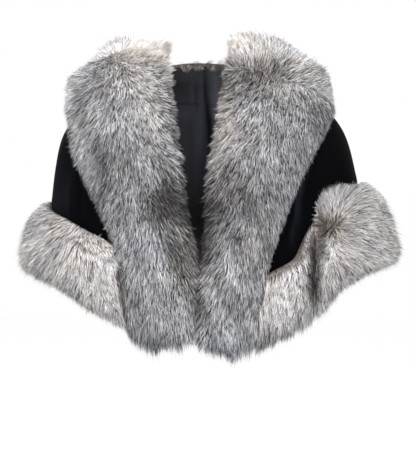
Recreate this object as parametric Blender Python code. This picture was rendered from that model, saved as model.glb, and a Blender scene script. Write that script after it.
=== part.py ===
"""Evening stole: a short black velvet cape with a wide fur shawl collar, a fur hem border and satin lining.

It is modelled as worn and hollow, in metres, at real size. +Z is up, the front faces -Y and +X is the
wearer's left. The origin is where the shoulders carry it: the middle of the neck opening, level with the
right side of the neck.
"""

from collections import namedtuple

import bmesh
import bpy
import numpy as np

# Walls and clearances
SHELL_WALL = 0.002
LINING_WALL = 0.001
SEAM_GAP = 0.0003

# How the wrap rounds: plan roundness of a ring, and how quickly its height leaves that of the side
PLAN_POWER = 2.15
HEIGHT_POWER = 1.3

# Fur reach beyond the backing: at the collar's lower ends, the hem and the border's top edge, where it starts
# within so many stations of the collar, and how far the border's pile parts from the collar's at their corner
COLLAR_END_FALL = 0.048
HEM_FALL = 0.031
BORDER_TOP_OVERHANG = 0.007
BORDER_TOP_START = 1.5
CORNER_PARTING = 0.0045

# How far across the collar its pile rises to its full depth from the neckline
NECK_RISE_WIDTH = 0.45

# Where an edge's own direction is read: this far inside it, as a share of the piece's width
EDGE_SHARE = 0.08

# Half steps that give the cloth's slopes, in degrees round the figure and in rows down it
ANGLE_STEP = 0.5
DROP_STEP = 0.02

# Mesh fineness
MERGE_DISTANCE = 0.00002
SHARP_ANGLE = 50
STEPS_PER_STATION = 4
COLLAR_ROWS = 5
SHELL_ROWS = 7
LINING_BORDER_ROWS = 6
YOKE_ROWS = 2

# The lining's centre-back pleat: how far its free edge stands off and laps over the middle, where down the
# back it lifts, and the places of its lines across
PLEAT_LIFT = 0.0045
PLEAT_LAP = 0.002
PLEAT_LIFT_START = 0.12
PLEAT_LIFT_LENGTH = 0.50
PLEAT_LINES = (0.0, 0.5, 1.0)

RIGHT, LEFT = -1, 1

# One row for each level, from the neck opening down. A level is called a drop, counted in rows.
Section = namedtuple(
    "Section",
    "name front_depth back_depth back_z right_reach right_front_z right_side_z"
    " left_reach left_front_z left_side_z",
)
SECTIONS = (
    Section("neckline", 0.058, 0.062, 0.000, 0.071, -0.020, 0.000, 0.071, -0.016, 0.011),
    Section("shoulder top", 0.100, 0.088, -0.036, 0.140, -0.075, -0.020, 0.140, -0.073, -0.010),
    Section("shoulder point", 0.130, 0.106, -0.092, 0.194, -0.132, -0.066, 0.188, -0.130, -0.057),
    Section("upper arm", 0.150, 0.118, -0.175, 0.241, -0.200, -0.140, 0.242, -0.200, -0.130),
    Section("border seam", 0.163, 0.128, -0.275, 0.264, -0.360, -0.258, 0.272, -0.345, -0.222),
    Section("hem", 0.172, 0.136, -0.385, 0.285, -0.463, -0.335, 0.308, -0.478, -0.330),
)
SEAM_DROP = 4.0
HEM_DROP = 5.0

# One row for each station along the collar, from the front hem up, over the shoulder and round to the centre
# back. Angles are in degrees round the figure from the centre front. hem_share counts the hem's way left to
# the centre back.
Station = namedtuple(
    "Station",
    "name inner_angle inner_drop outer_angle_right outer_angle_left outer_drop pile front_reach neck_rise"
    " outer_reach hem_share border_pile",
)
STATIONS = (
    Station("hem", 4.8, 4.88, 34.0, 33.0, 5.00, 0.032, 0.014, 1.00, 0.000, 1.000, 0.034),
    Station("border", 5.1, 4.40, 37.5, 35.5, 4.50, 0.036, 0.014, 1.00, 0.000, 1.000, 0.034),
    Station("seam", 5.6, 3.92, 41.0, 38.0, 4.00, 0.039, 0.014, 1.00, 0.000, 1.000, 0.034),
    Station("bust", 8.4, 3.25, 50.0, 47.5, 3.52, 0.042, 0.014, 1.00, 0.008, 0.920, 0.036),
    Station("chest", 14.0, 2.45, 61.0, 60.0, 3.10, 0.045, 0.014, 1.00, 0.010, 0.835, 0.038),
    Station("collarbone", 24.0, 1.40, 75.0, 75.0, 2.68, 0.048, 0.014, 1.00, 0.010, 0.735, 0.039),
    Station("shoulder", 41.0, 0.50, 93.0, 93.0, 2.48, 0.050, 0.013, 1.00, 0.010, 0.615, 0.039),
    Station("neck side", 72.0, 0.00, 114.0, 114.0, 2.64, 0.050, 0.010, 0.85, 0.010, 0.470, 0.038),
    Station("back neck", 122.0, 0.00, 143.0, 143.0, 2.94, 0.040, 0.003, 0.30, 0.010, 0.255, 0.037),
    Station("back", 180.0, 0.00, 180.0, 180.0, 2.98, 0.037, 0.001, 0.18, 0.010, 0.000, 0.037),
)
SEAM_STATION = 2
SHOULDER_STATION = 6
BOW_STATIONS = 2
LEFT_PILE = 1.06

# Soft folds of the wrap. depth is inwards, thinning is the share that the pile loses along the fold, and the
# cloth in front of a fold hangs lower by front_drop.
Fold = namedtuple("Fold", "name side angle half_width start full end depth end_depth thinning front_drop")
FOLDS = (
    Fold("left arm", LEFT, 60.5, 9.5, 2.9, 4.0, 5.0, 0.022, 0.006, 0.36, 0.058),
    Fold("right arm", RIGHT, 66.0, 10.0, 3.0, 4.4, 5.0, 0.005, 0.005, 0.05, 0.000),
    Fold("left back", LEFT, 128.0, 11.0, 3.0, 4.6, 5.0, 0.009, 0.009, 0.10, 0.000),
    Fold("right back", RIGHT, 122.0, 10.0, 3.1, 4.7, 5.0, 0.008, 0.008, 0.10, 0.000),
    Fold("left middle", LEFT, 158.0, 9.0, 3.4, 4.8, 5.0, 0.006, 0.006, 0.08, 0.000),
    Fold("right middle", RIGHT, 161.0, 9.0, 3.2, 4.5, 5.0, 0.007, 0.007, 0.08, 0.000),
)

# Furrows where the collar's pile parts. station and share say where, and depth is the share of the pile lost.
Furrow = namedtuple("Furrow", "side station half_width share half_share depth")
FURROWS = (
    Furrow(LEFT, 5.35, 0.42, 0.62, 0.40, 0.24),
    Furrow(RIGHT, 1.40, 0.60, 0.85, 0.30, 0.10),
    Furrow(LEFT, 2.10, 0.60, 0.20, 0.30, 0.12),
)

# Outlines of the pile over its backing. share runs across the backing, out is beyond its edge as a share of
# the overhang there, and height is a share of the pile's depth.
Pile = namedtuple("Pile", "share out height")
COLLAR_PILE = (
    Pile(0.00, -0.35, 0.00),
    Pile(0.00, -0.85, 0.20),
    Pile(0.00, -1.00, 0.46),
    Pile(0.00, -0.62, 0.75),
    Pile(0.12, 0.00, 0.93),
    Pile(0.30, 0.00, 1.00),
    Pile(0.50, 0.00, 1.00),
    Pile(0.70, 0.00, 0.91),
    Pile(0.87, 0.00, 0.74),
    Pile(1.00, 0.45, 0.50),
    Pile(1.00, 1.00, 0.27),
    Pile(1.00, 0.65, 0.13),
    Pile(1.00, 0.00, 0.05),
)
BORDER_PILE = (
    Pile(0.00, 0.00, 0.05),
    Pile(0.00, -1.00, 0.26),
    Pile(0.07, -0.40, 0.54),
    Pile(0.25, 0.00, 0.80),
    Pile(0.45, 0.00, 0.95),
    Pile(0.65, 0.00, 1.00),
    Pile(0.85, 0.00, 1.00),
    Pile(1.00, 0.35, 0.92),
    Pile(1.00, 0.80, 0.68),
    Pile(1.00, 1.00, 0.38),
    Pile(1.00, 0.88, 0.10),
    Pile(1.00, 0.42, -0.04),
)

# The rounded lower end of each collar strip: how far it has fallen and how far it has closed, as shares
EndRing = namedtuple("EndRing", "fall closed")
COLLAR_END = (
    EndRing(0.30, 0.03),
    EndRing(0.58, 0.12),
    EndRing(0.82, 0.30),
    EndRing(0.96, 0.56),
    EndRing(1.00, 0.80),
)

Finish = namedtuple("Finish", "name color roughness")
GREY_FUR = Finish("grey_fur", (0.40, 0.38, 0.38), 0.85)
PALE_FUR = Finish("pale_fur", (0.50, 0.47, 0.45), 0.85)
VELVET = Finish("velvet", (0.010, 0.010, 0.012), 0.90)
SATIN = Finish("satin", (0.035, 0.036, 0.042), 0.40)


def sided(name, side):
    """The name with its side, or the name of its column."""
    return f"{name}_left" if side == LEFT else f"{name}_right"


def mix(a, b, share):
    """Straight blend from a to b."""
    return a + (b - a) * share


def ease_through(values, t):
    """Monotone cubic through evenly spaced values, read at t, counted in rows."""
    values = [float(v) for v in values]
    steps = [b - a for a, b in zip(values, values[1:])]
    slopes = [steps[0]] + [0.0] * (len(values) - 2) + [steps[-1]]
    for i in range(1, len(values) - 1):
        before, after = steps[i - 1], steps[i]
        if before * after > 0:
            slopes[i] = 2 * before * after / (before + after)
    i = int(min(max(t, 0), len(steps) - 1e-9))
    u = t - i
    if t < 0 or t > len(steps):
        end = 0 if t < 0 else -1
        return values[end] + slopes[end] * (t - (0 if t < 0 else len(steps)))
    return (
        values[i] * (1 + 2 * u) * (1 - u) ** 2
        + slopes[i] * u * (1 - u) ** 2
        + values[i + 1] * u * u * (3 - 2 * u)
        + slopes[i + 1] * u * u * (u - 1)
    )


def smooth_step(t):
    """0 before 0, 1 after 1, and a soft S between."""
    t = min(max(t, 0.0), 1.0)
    return t * t * (3 - 2 * t)


def section_value(column, drop):
    """A column of the sections table at a drop."""
    return ease_through([getattr(row, column) for row in SECTIONS], drop)


def station_value(column, station):
    """A column of the stations table at a station, counted in rows."""
    return ease_through([getattr(row, column) for row in STATIONS], station)


def fold_shift(side, angle, drop):
    """How far the folds move a point inwards and down, and the share of the pile that is left there."""
    inwards = down = 0.0
    kept = 1.0
    for fold in FOLDS:
        if fold.side != side:
            continue
        rise = smooth_step((drop - fold.start) / (fold.full - fold.start))
        fade = min(max((drop - fold.full) / (fold.end - fold.full), 0.0), 1.0)
        across = (angle - fold.angle) / fold.half_width
        near = rise * np.exp(-across * across)
        inwards += mix(fold.depth, fold.end_depth, fade) * near
        down += fold.front_drop * rise * (1 - fade) * smooth_step(0.5 - across / 2)
        kept *= 1 - fold.thinning * near * (1 - fade / 2)
    return inwards, down, kept


def furrow_share(side, station, share):
    """The share of the collar's pile that its furrows leave."""
    kept = 1.0
    for furrow in FURROWS:
        if furrow.side == side:
            along = (station - furrow.station) / furrow.half_width
            across = (share - furrow.share) / furrow.half_share
            kept *= 1 - furrow.depth * np.exp(-(along**2) - across**2)
    return kept


def surface(side, angle, drop):
    """A point of the cloth's outer face, by the angle round the figure in degrees and the drop."""
    name = "left" if side == LEFT else "right"
    sine, cosine = np.sin(np.radians(angle)), np.cos(np.radians(angle))
    end = "front" if cosine > 0 else "back"
    end_z = section_value(f"{name}_front_z" if cosine > 0 else "back_z", drop)
    reach = section_value(f"{name}_reach", drop)
    depth = section_value(f"{end}_depth", drop)
    radius = ((abs(sine) / reach) ** PLAN_POWER + (abs(cosine) / depth) ** PLAN_POWER) ** (-1 / PLAN_POWER)
    z = mix(section_value(f"{name}_side_z", drop), end_z, abs(cosine) ** HEIGHT_POWER)
    inwards, down, _ = fold_shift(side, angle, drop)
    radius -= inwards
    return np.array((side * radius * sine, -radius * cosine, z - down))


def unit(vector):
    """The vector at length 1."""
    return vector / np.linalg.norm(vector)


def cloth(side, place):
    """The point, outward normal and downward direction of the outer face at place, an angle and a drop."""
    angle, drop = place
    around = surface(side, angle + ANGLE_STEP, drop) - surface(side, angle - ANGLE_STEP, drop)
    down = surface(side, angle, drop + DROP_STEP) - surface(side, angle, drop - DROP_STEP)
    return surface(side, angle, drop), unit(np.cross(down, around)) * side, unit(down)


def collar_place(side, station, share):
    """Where the collar lies: share 0 is the front edge or neckline, and 1 is its outer edge."""
    outer_angle = station_value(sided("outer_angle", side), station)
    inner = np.array((station_value("inner_angle", station), station_value("inner_drop", station)))
    outer = np.array((outer_angle, station_value("outer_drop", station)))
    return mix(inner, outer, share)


def round_place(side, station, drop, corner):
    """A point on a line round the hem from the collar's corner to the centre back."""
    corner_angle = collar_place(side, corner, 1)[0]
    return np.array((180 - (180 - corner_angle) * station_value("hem_share", station), drop))


def shell_place(side, station, share):
    """Where the velvet lies: share 0 is the collar's outer edge, and 1 is the border's seam."""
    return mix(collar_place(side, station, 1), round_place(side, station, SEAM_DROP, SEAM_STATION), share)


def border_place(side, station, share):
    """Where the border lies: share 0 is its seam and 1 its hem. Its front end follows the collar's edge."""
    seam_corner = collar_place(side, SEAM_STATION, 1)
    hem_corner = collar_place(side, 0, 1)
    bow = collar_place(side, SEAM_STATION * (1 - share), 1) - mix(seam_corner, hem_corner, share)
    near_front = max(0.0, 1 - (station - SEAM_STATION) / BOW_STATIONS)
    seam = round_place(side, station, SEAM_DROP, SEAM_STATION)
    hem = round_place(side, station, HEM_DROP, 0)
    return mix(seam, hem, share) + bow * near_front


def stations(first, last):
    """Evenly spaced stations, with the last one included."""
    return np.linspace(first, last, int(round((last - first) * STEPS_PER_STATION)) + 1)


def grid(side, place, first, last, rows):
    """Points and normals of a piece: a column for each station, and a row for each share."""
    shares = np.linspace(0, 1, rows + 1)
    places = [[place(side, station, share) for share in shares] for station in stations(first, last)]
    found = [[cloth(side, here) for here in column] for column in places]
    return tuple(np.array([[values[i] for values in column] for column in found]) for i in (0, 1))


def set_back(points, normals, rim):
    """Moves a rim of the grid half a seam's gap into the piece. Rims are row or column 0 or -1."""
    kind, which = rim
    near = 1 if which == 0 else -2
    edge = points[:, which] if kind == "row" else points[which]
    inner = points[:, near] if kind == "row" else points[near]
    normal = normals[:, which] if kind == "row" else normals[which]
    along = np.gradient(edge, axis=0)
    inwards = np.cross(normal, along)
    inwards /= np.maximum(np.linalg.norm(inwards, axis=1), 1e-9)[:, None]
    inwards *= np.sign(np.sum(inwards * (inner - edge), axis=1))[:, None]
    edge += inwards * SEAM_GAP / 2


def strip_faces(first, second, forwards=True):
    """Triangles between two lists of vertices of the same length. The diagonals lean the same way on both
    sides of the stole when forwards says whether the stations run towards the centre back."""
    faces = []
    for k in range(len(first) - 1):
        corners = (first[k], first[k + 1], second[k + 1], second[k])
        a, b, c, d = corners if forwards else (corners[1], corners[0], corners[3], corners[2])
        faces += [(a, b, d), (b, c, d)]
    return faces


def zip_faces(first, second):
    """Triangles between two lists of vertices of any lengths."""
    faces, i, j = [], 0, 0
    last_i, last_j = len(first) - 1, len(second) - 1
    while i < last_i or j < last_j:
        if j == last_j or (i < last_i and (i + 1) * last_j <= (j + 1) * last_i):
            faces.append((first[i], first[i + 1], second[j]))
            i += 1
        else:
            faces.append((first[i], second[j + 1], second[j]))
            j += 1
    return faces


def add_solid(name, rings, finish, turn=None):
    """Joins sections into one closed body. A section is an inner and an outer line of points, run the same
    way. The stations run towards the centre back up to the section that turn counts, and away after that."""
    mesh = bpy.data.meshes.new(name)
    body = bmesh.new()
    made = [[[body.verts.new(p) for p in line] for line in ring] for ring in rings]
    faces = zip_faces(*made[0]) + zip_faces(*made[-1])
    for i, ((inner, outer), (next_inner, next_outer)) in enumerate(zip(made, made[1:])):
        forwards = turn is None or i < turn
        faces += strip_faces(inner, next_inner, forwards) + strip_faces(outer, next_outer, forwards)
        for end in (0, -1):
            faces += strip_faces((inner[end], next_inner[end]), (outer[end], next_outer[end]))
    for corners in faces:
        if body.faces.get(corners) is None:
            body.faces.new(corners)
    bmesh.ops.remove_doubles(body, verts=body.verts, dist=MERGE_DISTANCE)
    bmesh.ops.recalc_face_normals(body, faces=body.faces)
    body.to_mesh(mesh)
    body.free()
    mesh.shade_smooth()
    mesh.set_sharp_from_angle(angle=np.radians(SHARP_ANGLE))
    mesh.materials.append(material(finish))
    piece = bpy.data.objects.new(name, mesh)
    bpy.context.scene.collection.objects.link(piece)
    return piece


def material(finish):
    """The Principled material of a finish, made once."""
    found = bpy.data.materials.get(finish.name)
    if found:
        return found
    made = bpy.data.materials.new(finish.name)
    made.use_nodes = True
    shader = made.node_tree.nodes["Principled BSDF"]
    shader.inputs["Base Color"].default_value = (*finish.color, 1)
    shader.inputs["Roughness"].default_value = finish.roughness
    shader.inputs["Metallic"].default_value = 0
    made.diffuse_color = (*finish.color, 1)
    return made


def wall_rings(points, normals, outer_depth, inner_depth):
    """Sections of an even wall, between two depths under the outer face."""
    return [(p - n * inner_depth, p - n * outer_depth) for p, n in zip(points, normals)]


def pile_line(side, place, station, rims, outline, reach, height):
    """The pile's outer line at one station. rims are the two edge points after their seam gap, reach gives
    the overhang before the first edge and past the last one, and height gives the pile's depth at a share."""
    line = []
    edges = [cloth(side, place(side, station, share)) for share in (0, 1)]
    ways = [
        edges[0][0] - cloth(side, place(side, station, EDGE_SHARE))[0],
        edges[1][0] - cloth(side, place(side, station, 1 - EDGE_SHARE))[0],
    ]
    for row in outline:
        base, normal, _ = cloth(side, place(side, station, row.share))
        if row.share in (0, 1):
            base = rims[int(row.share)]
        which = 0 if row.out < 0 else 1
        way = unit(ways[which] - edges[which][1] * np.dot(ways[which], edges[which][1]))
        line.append(base + normal * row.height * height(row.share) + way * abs(row.out) * reach[which])
    return np.array(line)


def collar_rings(side):
    """Sections of one half of the collar, from the front hem to the centre back."""
    last = len(STATIONS) - 1
    points, normals = grid(side, collar_place, 0, last, COLLAR_ROWS)
    set_back(points, normals, ("row", -1))
    set_back(points, normals, ("column", -1))
    scale = LEFT_PILE if side == LEFT else 1
    rings = []
    for station, column, normal in zip(stations(0, last), points, normals):
        depth = station_value("pile", station) * scale
        neck_rise = station_value("neck_rise", station)

        def height(share):
            rise = mix(neck_rise, 1, smooth_step(share / NECK_RISE_WIDTH))
            return depth * rise * furrow_share(side, station, share)

        reach = (station_value("front_reach", station), station_value("outer_reach", station))
        line = pile_line(side, collar_place, station, (column[0], column[-1]), COLLAR_PILE, reach, height)
        rings.append((column - normal * SHELL_WALL, line))
    for line in rings[-1]:
        line[:, 0] = side * SEAM_GAP / 2
    return rings


def collar(side):
    """One half of the shawl collar, with its rounded lower end."""
    rings = collar_rings(side)
    first_inner, first_outer = rings[0]
    down = cloth(side, collar_place(side, 0, 0.5))[2]
    middle = np.mean(np.vstack(rings[0]), axis=0)
    for ring in COLLAR_END:
        fallen = middle + down * ring.fall * COLLAR_END_FALL
        kept = 1 - ring.closed
        rings.insert(0, (fallen + (first_inner - middle) * kept, fallen + (first_outer - middle) * kept))
    return add_solid(sided("collar", side), rings, GREY_FUR)


def velvet_grid(side, first, last):
    """The velvet's points between two stations, set back from the collar and the border."""
    points, normals = grid(side, shell_place, first, last, SHELL_ROWS)
    set_back(points, normals, ("row", 0))
    set_back(points, normals, ("row", -1))
    return points, normals


def front(side):
    """The velvet over one arm, which tapers to a point between the collar and the border."""
    points, normals = velvet_grid(side, SEAM_STATION, SHOULDER_STATION)
    tip = cloth(side, collar_place(side, SEAM_STATION, 1))[0]
    points[0] = tip + unit(points[1].mean(axis=0) - tip) * SEAM_GAP * 2
    set_back(points, normals, ("column", -1))
    rings = wall_rings(points, normals, 0, SHELL_WALL)
    return add_solid(sided("front", side), rings, VELVET)


def back_halves(place, rows):
    """Points and normals of a whole back piece, from the wearer's right shoulder seam to the left one."""
    last = len(STATIONS) - 1
    right = grid(RIGHT, place, SHOULDER_STATION, last, rows)
    left = grid(LEFT, place, SHOULDER_STATION, last, rows)
    return tuple(np.concatenate((r, l[-2::-1])) for r, l in zip(right, left))


def back():
    """The velvet back, in one piece."""
    points, normals = back_halves(shell_place, SHELL_ROWS)
    for rim in (("row", 0), ("row", -1), ("column", 0), ("column", -1)):
        set_back(points, normals, rim)
    return add_solid("back", wall_rings(points, normals, 0, SHELL_WALL), VELVET, len(points) // 2)


def border_rings(side, first, last, points, normals):
    """Sections of the fur border between two stations."""
    scale = LEFT_PILE if side == LEFT else 1
    rings = []
    for station, column, normal in zip(stations(first, last), points, normals):
        above = BORDER_TOP_OVERHANG * smooth_step((station - SEAM_STATION) / BORDER_TOP_START)
        depth = station_value("border_pile", station) * scale

        def height(share):
            return depth * fold_shift(side, *border_place(side, station, share))[2]

        rims = (column[0], column[-1])
        line = pile_line(side, border_place, station, rims, BORDER_PILE, (above, HEM_FALL), height)
        rings.append((column - normal * SHELL_WALL, line))
    return rings


def set_back_ring(rings, which, parting=SEAM_GAP / 2):
    """Moves an end section into the piece: its backing by half a seam's gap, and its pile by the parting."""
    near = 1 if which == 0 else -2
    rings[which] = tuple(
        line + (beside - line) / np.linalg.norm(beside - line, axis=1)[:, None] * distance
        for line, beside, distance in zip(rings[which], rings[near], (SEAM_GAP / 2, parting))
    )


def border_front(side):
    """The fur border over one arm, from the collar to the shoulder line."""
    rows = SEAM_STATION * STEPS_PER_STATION
    points, normals = grid(side, border_place, SEAM_STATION, SHOULDER_STATION, rows)
    set_back(points, normals, ("row", 0))
    rings = border_rings(side, SEAM_STATION, SHOULDER_STATION, points, normals)
    set_back_ring(rings, 0, CORNER_PARTING)
    set_back_ring(rings, -1)
    return add_solid(sided("border", side), rings, PALE_FUR)


def border_back():
    """The fur border across the back, in one piece."""
    last = len(STATIONS) - 1
    halves = []
    for side in (RIGHT, LEFT):
        rows = SEAM_STATION * STEPS_PER_STATION
        points, normals = grid(side, border_place, SHOULDER_STATION, last, rows)
        set_back(points, normals, ("row", 0))
        halves.append(border_rings(side, SHOULDER_STATION, last, points, normals))
    rings = halves[0] + halves[1][-2::-1]
    set_back_ring(rings, 0)
    set_back_ring(rings, -1)
    return add_solid("border_back", rings, PALE_FUR, len(rings) // 2)


def lining_grid(side):
    """The back lining's points from the shoulder line to the centre back, made from the panels over it."""
    last = len(STATIONS) - 1
    rows = SEAM_STATION * STEPS_PER_STATION
    blocks = [
        grid(side, collar_place, SHOULDER_STATION, last, COLLAR_ROWS),
        grid(side, shell_place, SHOULDER_STATION, last, SHELL_ROWS),
        grid(side, border_place, SHOULDER_STATION, last, rows),
    ]
    kept = [slice(0, None), slice(1, None), slice(1, LINING_BORDER_ROWS + 1)]
    return tuple(np.concatenate([b[i][:, k] for b, k in zip(blocks, kept)], axis=1) for i in (0, 1))


def lining_half(side):
    """One side of the back lining, below the yoke."""
    points, normals = (values[:, YOKE_ROWS:] for values in lining_grid(side))
    set_back(points, normals, ("row", 0))
    set_back(points, normals, ("column", -1))
    near = SHELL_WALL + SEAM_GAP
    rings = wall_rings(points, normals, near, near + LINING_WALL)
    return add_solid(sided("lining", side), rings, SATIN)


def lining_yoke():
    """The yoke under the back neckline, in one piece."""
    halves = [tuple(values[:, : YOKE_ROWS + 1] for values in lining_grid(side)) for side in (RIGHT, LEFT)]
    points, normals = (np.concatenate((r, l[-2::-1])) for r, l in zip(*halves))
    set_back(points, normals, ("row", -1))
    near = SHELL_WALL + SEAM_GAP
    rings = wall_rings(points, normals, near, near + LINING_WALL)
    return add_solid("lining_yoke", rings, SATIN, len(points) // 2)


def lining_pleat():
    """The flat pleat down the centre back, laid on the lining, with its free edge lifted below the yoke."""
    points, normals = lining_grid(RIGHT)
    near = SHELL_WALL + 2 * SEAM_GAP + LINING_WALL
    drops = np.linspace(0, 1, points.shape[1])
    lift = PLEAT_LIFT * np.sin(np.pi * np.clip((drops - PLEAT_LIFT_START) / PLEAT_LIFT_LENGTH, 0, 1)) ** 2
    rings = []
    for share in PLEAT_LINES:
        column, normal = mix(points[-2], points[-1], share), mix(normals[-2], normals[-1], share)
        depth = near + (lift * share**2)[:, None]
        place = column + np.array((PLEAT_LAP * share, 0, 0))
        rings.append((place - normal * (depth + LINING_WALL), place - normal * depth))
    return add_solid("lining_pleat", rings, SATIN)


def clear_scene():
    """Removes what the file opened with."""
    for piece in list(bpy.data.objects):
        bpy.data.objects.remove(piece)


def main():
    """Builds every piece of the stole."""
    clear_scene()
    for side in (RIGHT, LEFT):
        collar(side)
        front(side)
        border_front(side)
        lining_half(side)
    back()
    border_back()
    lining_yoke()
    lining_pleat()


main()
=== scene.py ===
"""Evening stole, dressed: velvet and satin sheets, and fur grown hair by hair on its hides.

Lengths are in metres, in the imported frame: +Z is up, the front faces -Y and +X is the wearer's left. The
stole hangs as worn and hollow. Its form is worked out once, in WrapForm, and every sheet, hide, undercoat
and hair is laid on that form.
"""

import logging
from collections.abc import Callable
from dataclasses import dataclass, field, fields
from enum import Enum

import bpy
import numpy as np
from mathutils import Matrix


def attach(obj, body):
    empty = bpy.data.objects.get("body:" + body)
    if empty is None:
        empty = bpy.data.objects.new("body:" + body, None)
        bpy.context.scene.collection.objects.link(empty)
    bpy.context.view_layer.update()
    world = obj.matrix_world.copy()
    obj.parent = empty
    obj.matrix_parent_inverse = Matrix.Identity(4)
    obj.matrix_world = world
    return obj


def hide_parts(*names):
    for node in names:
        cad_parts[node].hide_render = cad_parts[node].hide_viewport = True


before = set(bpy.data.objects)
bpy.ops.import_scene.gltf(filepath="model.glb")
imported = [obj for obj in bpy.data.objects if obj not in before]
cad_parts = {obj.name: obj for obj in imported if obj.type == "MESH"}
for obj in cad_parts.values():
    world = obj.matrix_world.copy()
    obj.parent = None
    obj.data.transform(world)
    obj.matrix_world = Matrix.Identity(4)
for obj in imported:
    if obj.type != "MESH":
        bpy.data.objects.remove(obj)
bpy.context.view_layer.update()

# Short names for types that many functions share.
Amount = float | np.ndarray
AngleAndDrop = tuple[Amount, Amount]
Triple = tuple[float, float, float]
Cut = tuple[float, float]
Piece = bpy.types.Object
Socket = bpy.types.NodeSocket
Finishes = dict[str, bpy.types.Material]
Random = np.random.Generator

LOG = logging.getLogger("evening stole")
BODY = "root"

SHELL_WALL = 0.002
LINING_WALL = 0.001
SEAM_GAP = 0.0003
PLAN_POWER = 2.15
HEIGHT_POWER = 1.3
NECK_RISE_WIDTH = 0.45
EDGE_SHARE = 0.08
ANGLE_STEP = 0.5
DROP_STEP = 0.02
HEM_FALL = 0.031
SEAM_DROP = 4.0
HEM_DROP = 5.0
SEAM_STATION = 2
SHOULDER_STATION = 6
LAST_STATION = 9
BOW_STATIONS = 2
LEFT_PILE = 1.06
LINING_DEPTH = SHELL_WALL + SEAM_GAP
SHARP_ANGLE = 0.8
CM2_PER_M2 = 1e4


class Side(Enum):
    """The wearer's sides, as the sign of their X."""

    RIGHT = -1
    LEFT = 1

    def named(self, name: str) -> str:
        """The name with this side after it."""
        return f"{name}_{self.name.lower()}"


@dataclass(frozen=True)
class Section:
    """One level of the wrap, from the neck opening down. A level is called a drop, counted in rows."""

    front_depth: float
    back_depth: float
    back_z: float
    right_reach: float
    right_front_z: float
    right_side_z: float
    left_reach: float
    left_front_z: float
    left_side_z: float


@dataclass(frozen=True)
class Station:
    """One place along the collar, from the front hem up, over the shoulder and round to the centre back."""

    inner_angle: float
    inner_drop: float
    outer_angle_right: float
    outer_angle_left: float
    outer_drop: float
    pile: float
    front_reach: float
    neck_rise: float
    hem_share: float
    border_pile: float


@dataclass(frozen=True)
class Fold:
    """A soft fold of the wrap: how far it goes in, and what it leaves of the pile."""

    side: Side
    angle: float
    half_width: float
    start: float
    full: float
    end: float
    depth: float
    end_depth: float
    thinning: float
    front_drop: float


@dataclass(frozen=True)
class Furrow:
    """A place where the collar's pile parts."""

    side: Side
    station: float
    half_width: float
    share: float
    half_share: float
    depth: float


@dataclass(frozen=True)
class PileRow:
    """One point of a pile's outline over its hide."""

    share: float
    out: float
    height: float


SECTIONS = (
    Section(0.058, 0.062, 0.000, 0.071, -0.020, 0.000, 0.071, -0.016, 0.011),
    Section(0.100, 0.088, -0.036, 0.140, -0.075, -0.020, 0.140, -0.073, -0.010),
    Section(0.130, 0.106, -0.092, 0.194, -0.132, -0.066, 0.188, -0.130, -0.057),
    Section(0.150, 0.118, -0.175, 0.241, -0.200, -0.140, 0.242, -0.200, -0.130),
    Section(0.163, 0.128, -0.275, 0.264, -0.360, -0.258, 0.272, -0.345, -0.222),
    Section(0.172, 0.136, -0.385, 0.285, -0.463, -0.335, 0.308, -0.478, -0.330),
)
STATIONS = (
    Station(4.8, 4.88, 34.0, 33.0, 5.00, 0.032, 0.014, 1.00, 1.000, 0.034),
    Station(5.1, 4.40, 37.5, 35.5, 4.50, 0.036, 0.014, 1.00, 1.000, 0.034),
    Station(5.6, 3.92, 41.0, 38.0, 4.00, 0.039, 0.014, 1.00, 1.000, 0.034),
    Station(8.4, 3.25, 50.0, 47.5, 3.52, 0.042, 0.014, 1.00, 0.920, 0.036),
    Station(14.0, 2.45, 61.0, 60.0, 3.10, 0.045, 0.014, 1.00, 0.835, 0.038),
    Station(24.0, 1.40, 75.0, 75.0, 2.68, 0.048, 0.014, 1.00, 0.735, 0.039),
    Station(41.0, 0.50, 93.0, 93.0, 2.48, 0.050, 0.013, 1.00, 0.615, 0.039),
    Station(72.0, 0.00, 114.0, 114.0, 2.64, 0.050, 0.010, 0.85, 0.470, 0.038),
    Station(122.0, 0.00, 143.0, 143.0, 2.94, 0.040, 0.003, 0.30, 0.255, 0.037),
    Station(180.0, 0.00, 180.0, 180.0, 2.98, 0.037, 0.001, 0.18, 0.000, 0.037),
)
FOLDS = (
    Fold(Side.LEFT, 60.5, 9.5, 2.9, 4.0, 5.0, 0.022, 0.006, 0.36, 0.058),
    Fold(Side.RIGHT, 66.0, 10.0, 3.0, 4.4, 5.0, 0.005, 0.005, 0.05, 0.000),
    Fold(Side.LEFT, 128.0, 11.0, 3.0, 4.6, 5.0, 0.009, 0.009, 0.10, 0.000),
    Fold(Side.RIGHT, 122.0, 10.0, 3.1, 4.7, 5.0, 0.008, 0.008, 0.10, 0.000),
    Fold(Side.LEFT, 158.0, 9.0, 3.4, 4.8, 5.0, 0.006, 0.006, 0.08, 0.000),
    Fold(Side.RIGHT, 161.0, 9.0, 3.2, 4.5, 5.0, 0.007, 0.007, 0.08, 0.000),
)
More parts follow.
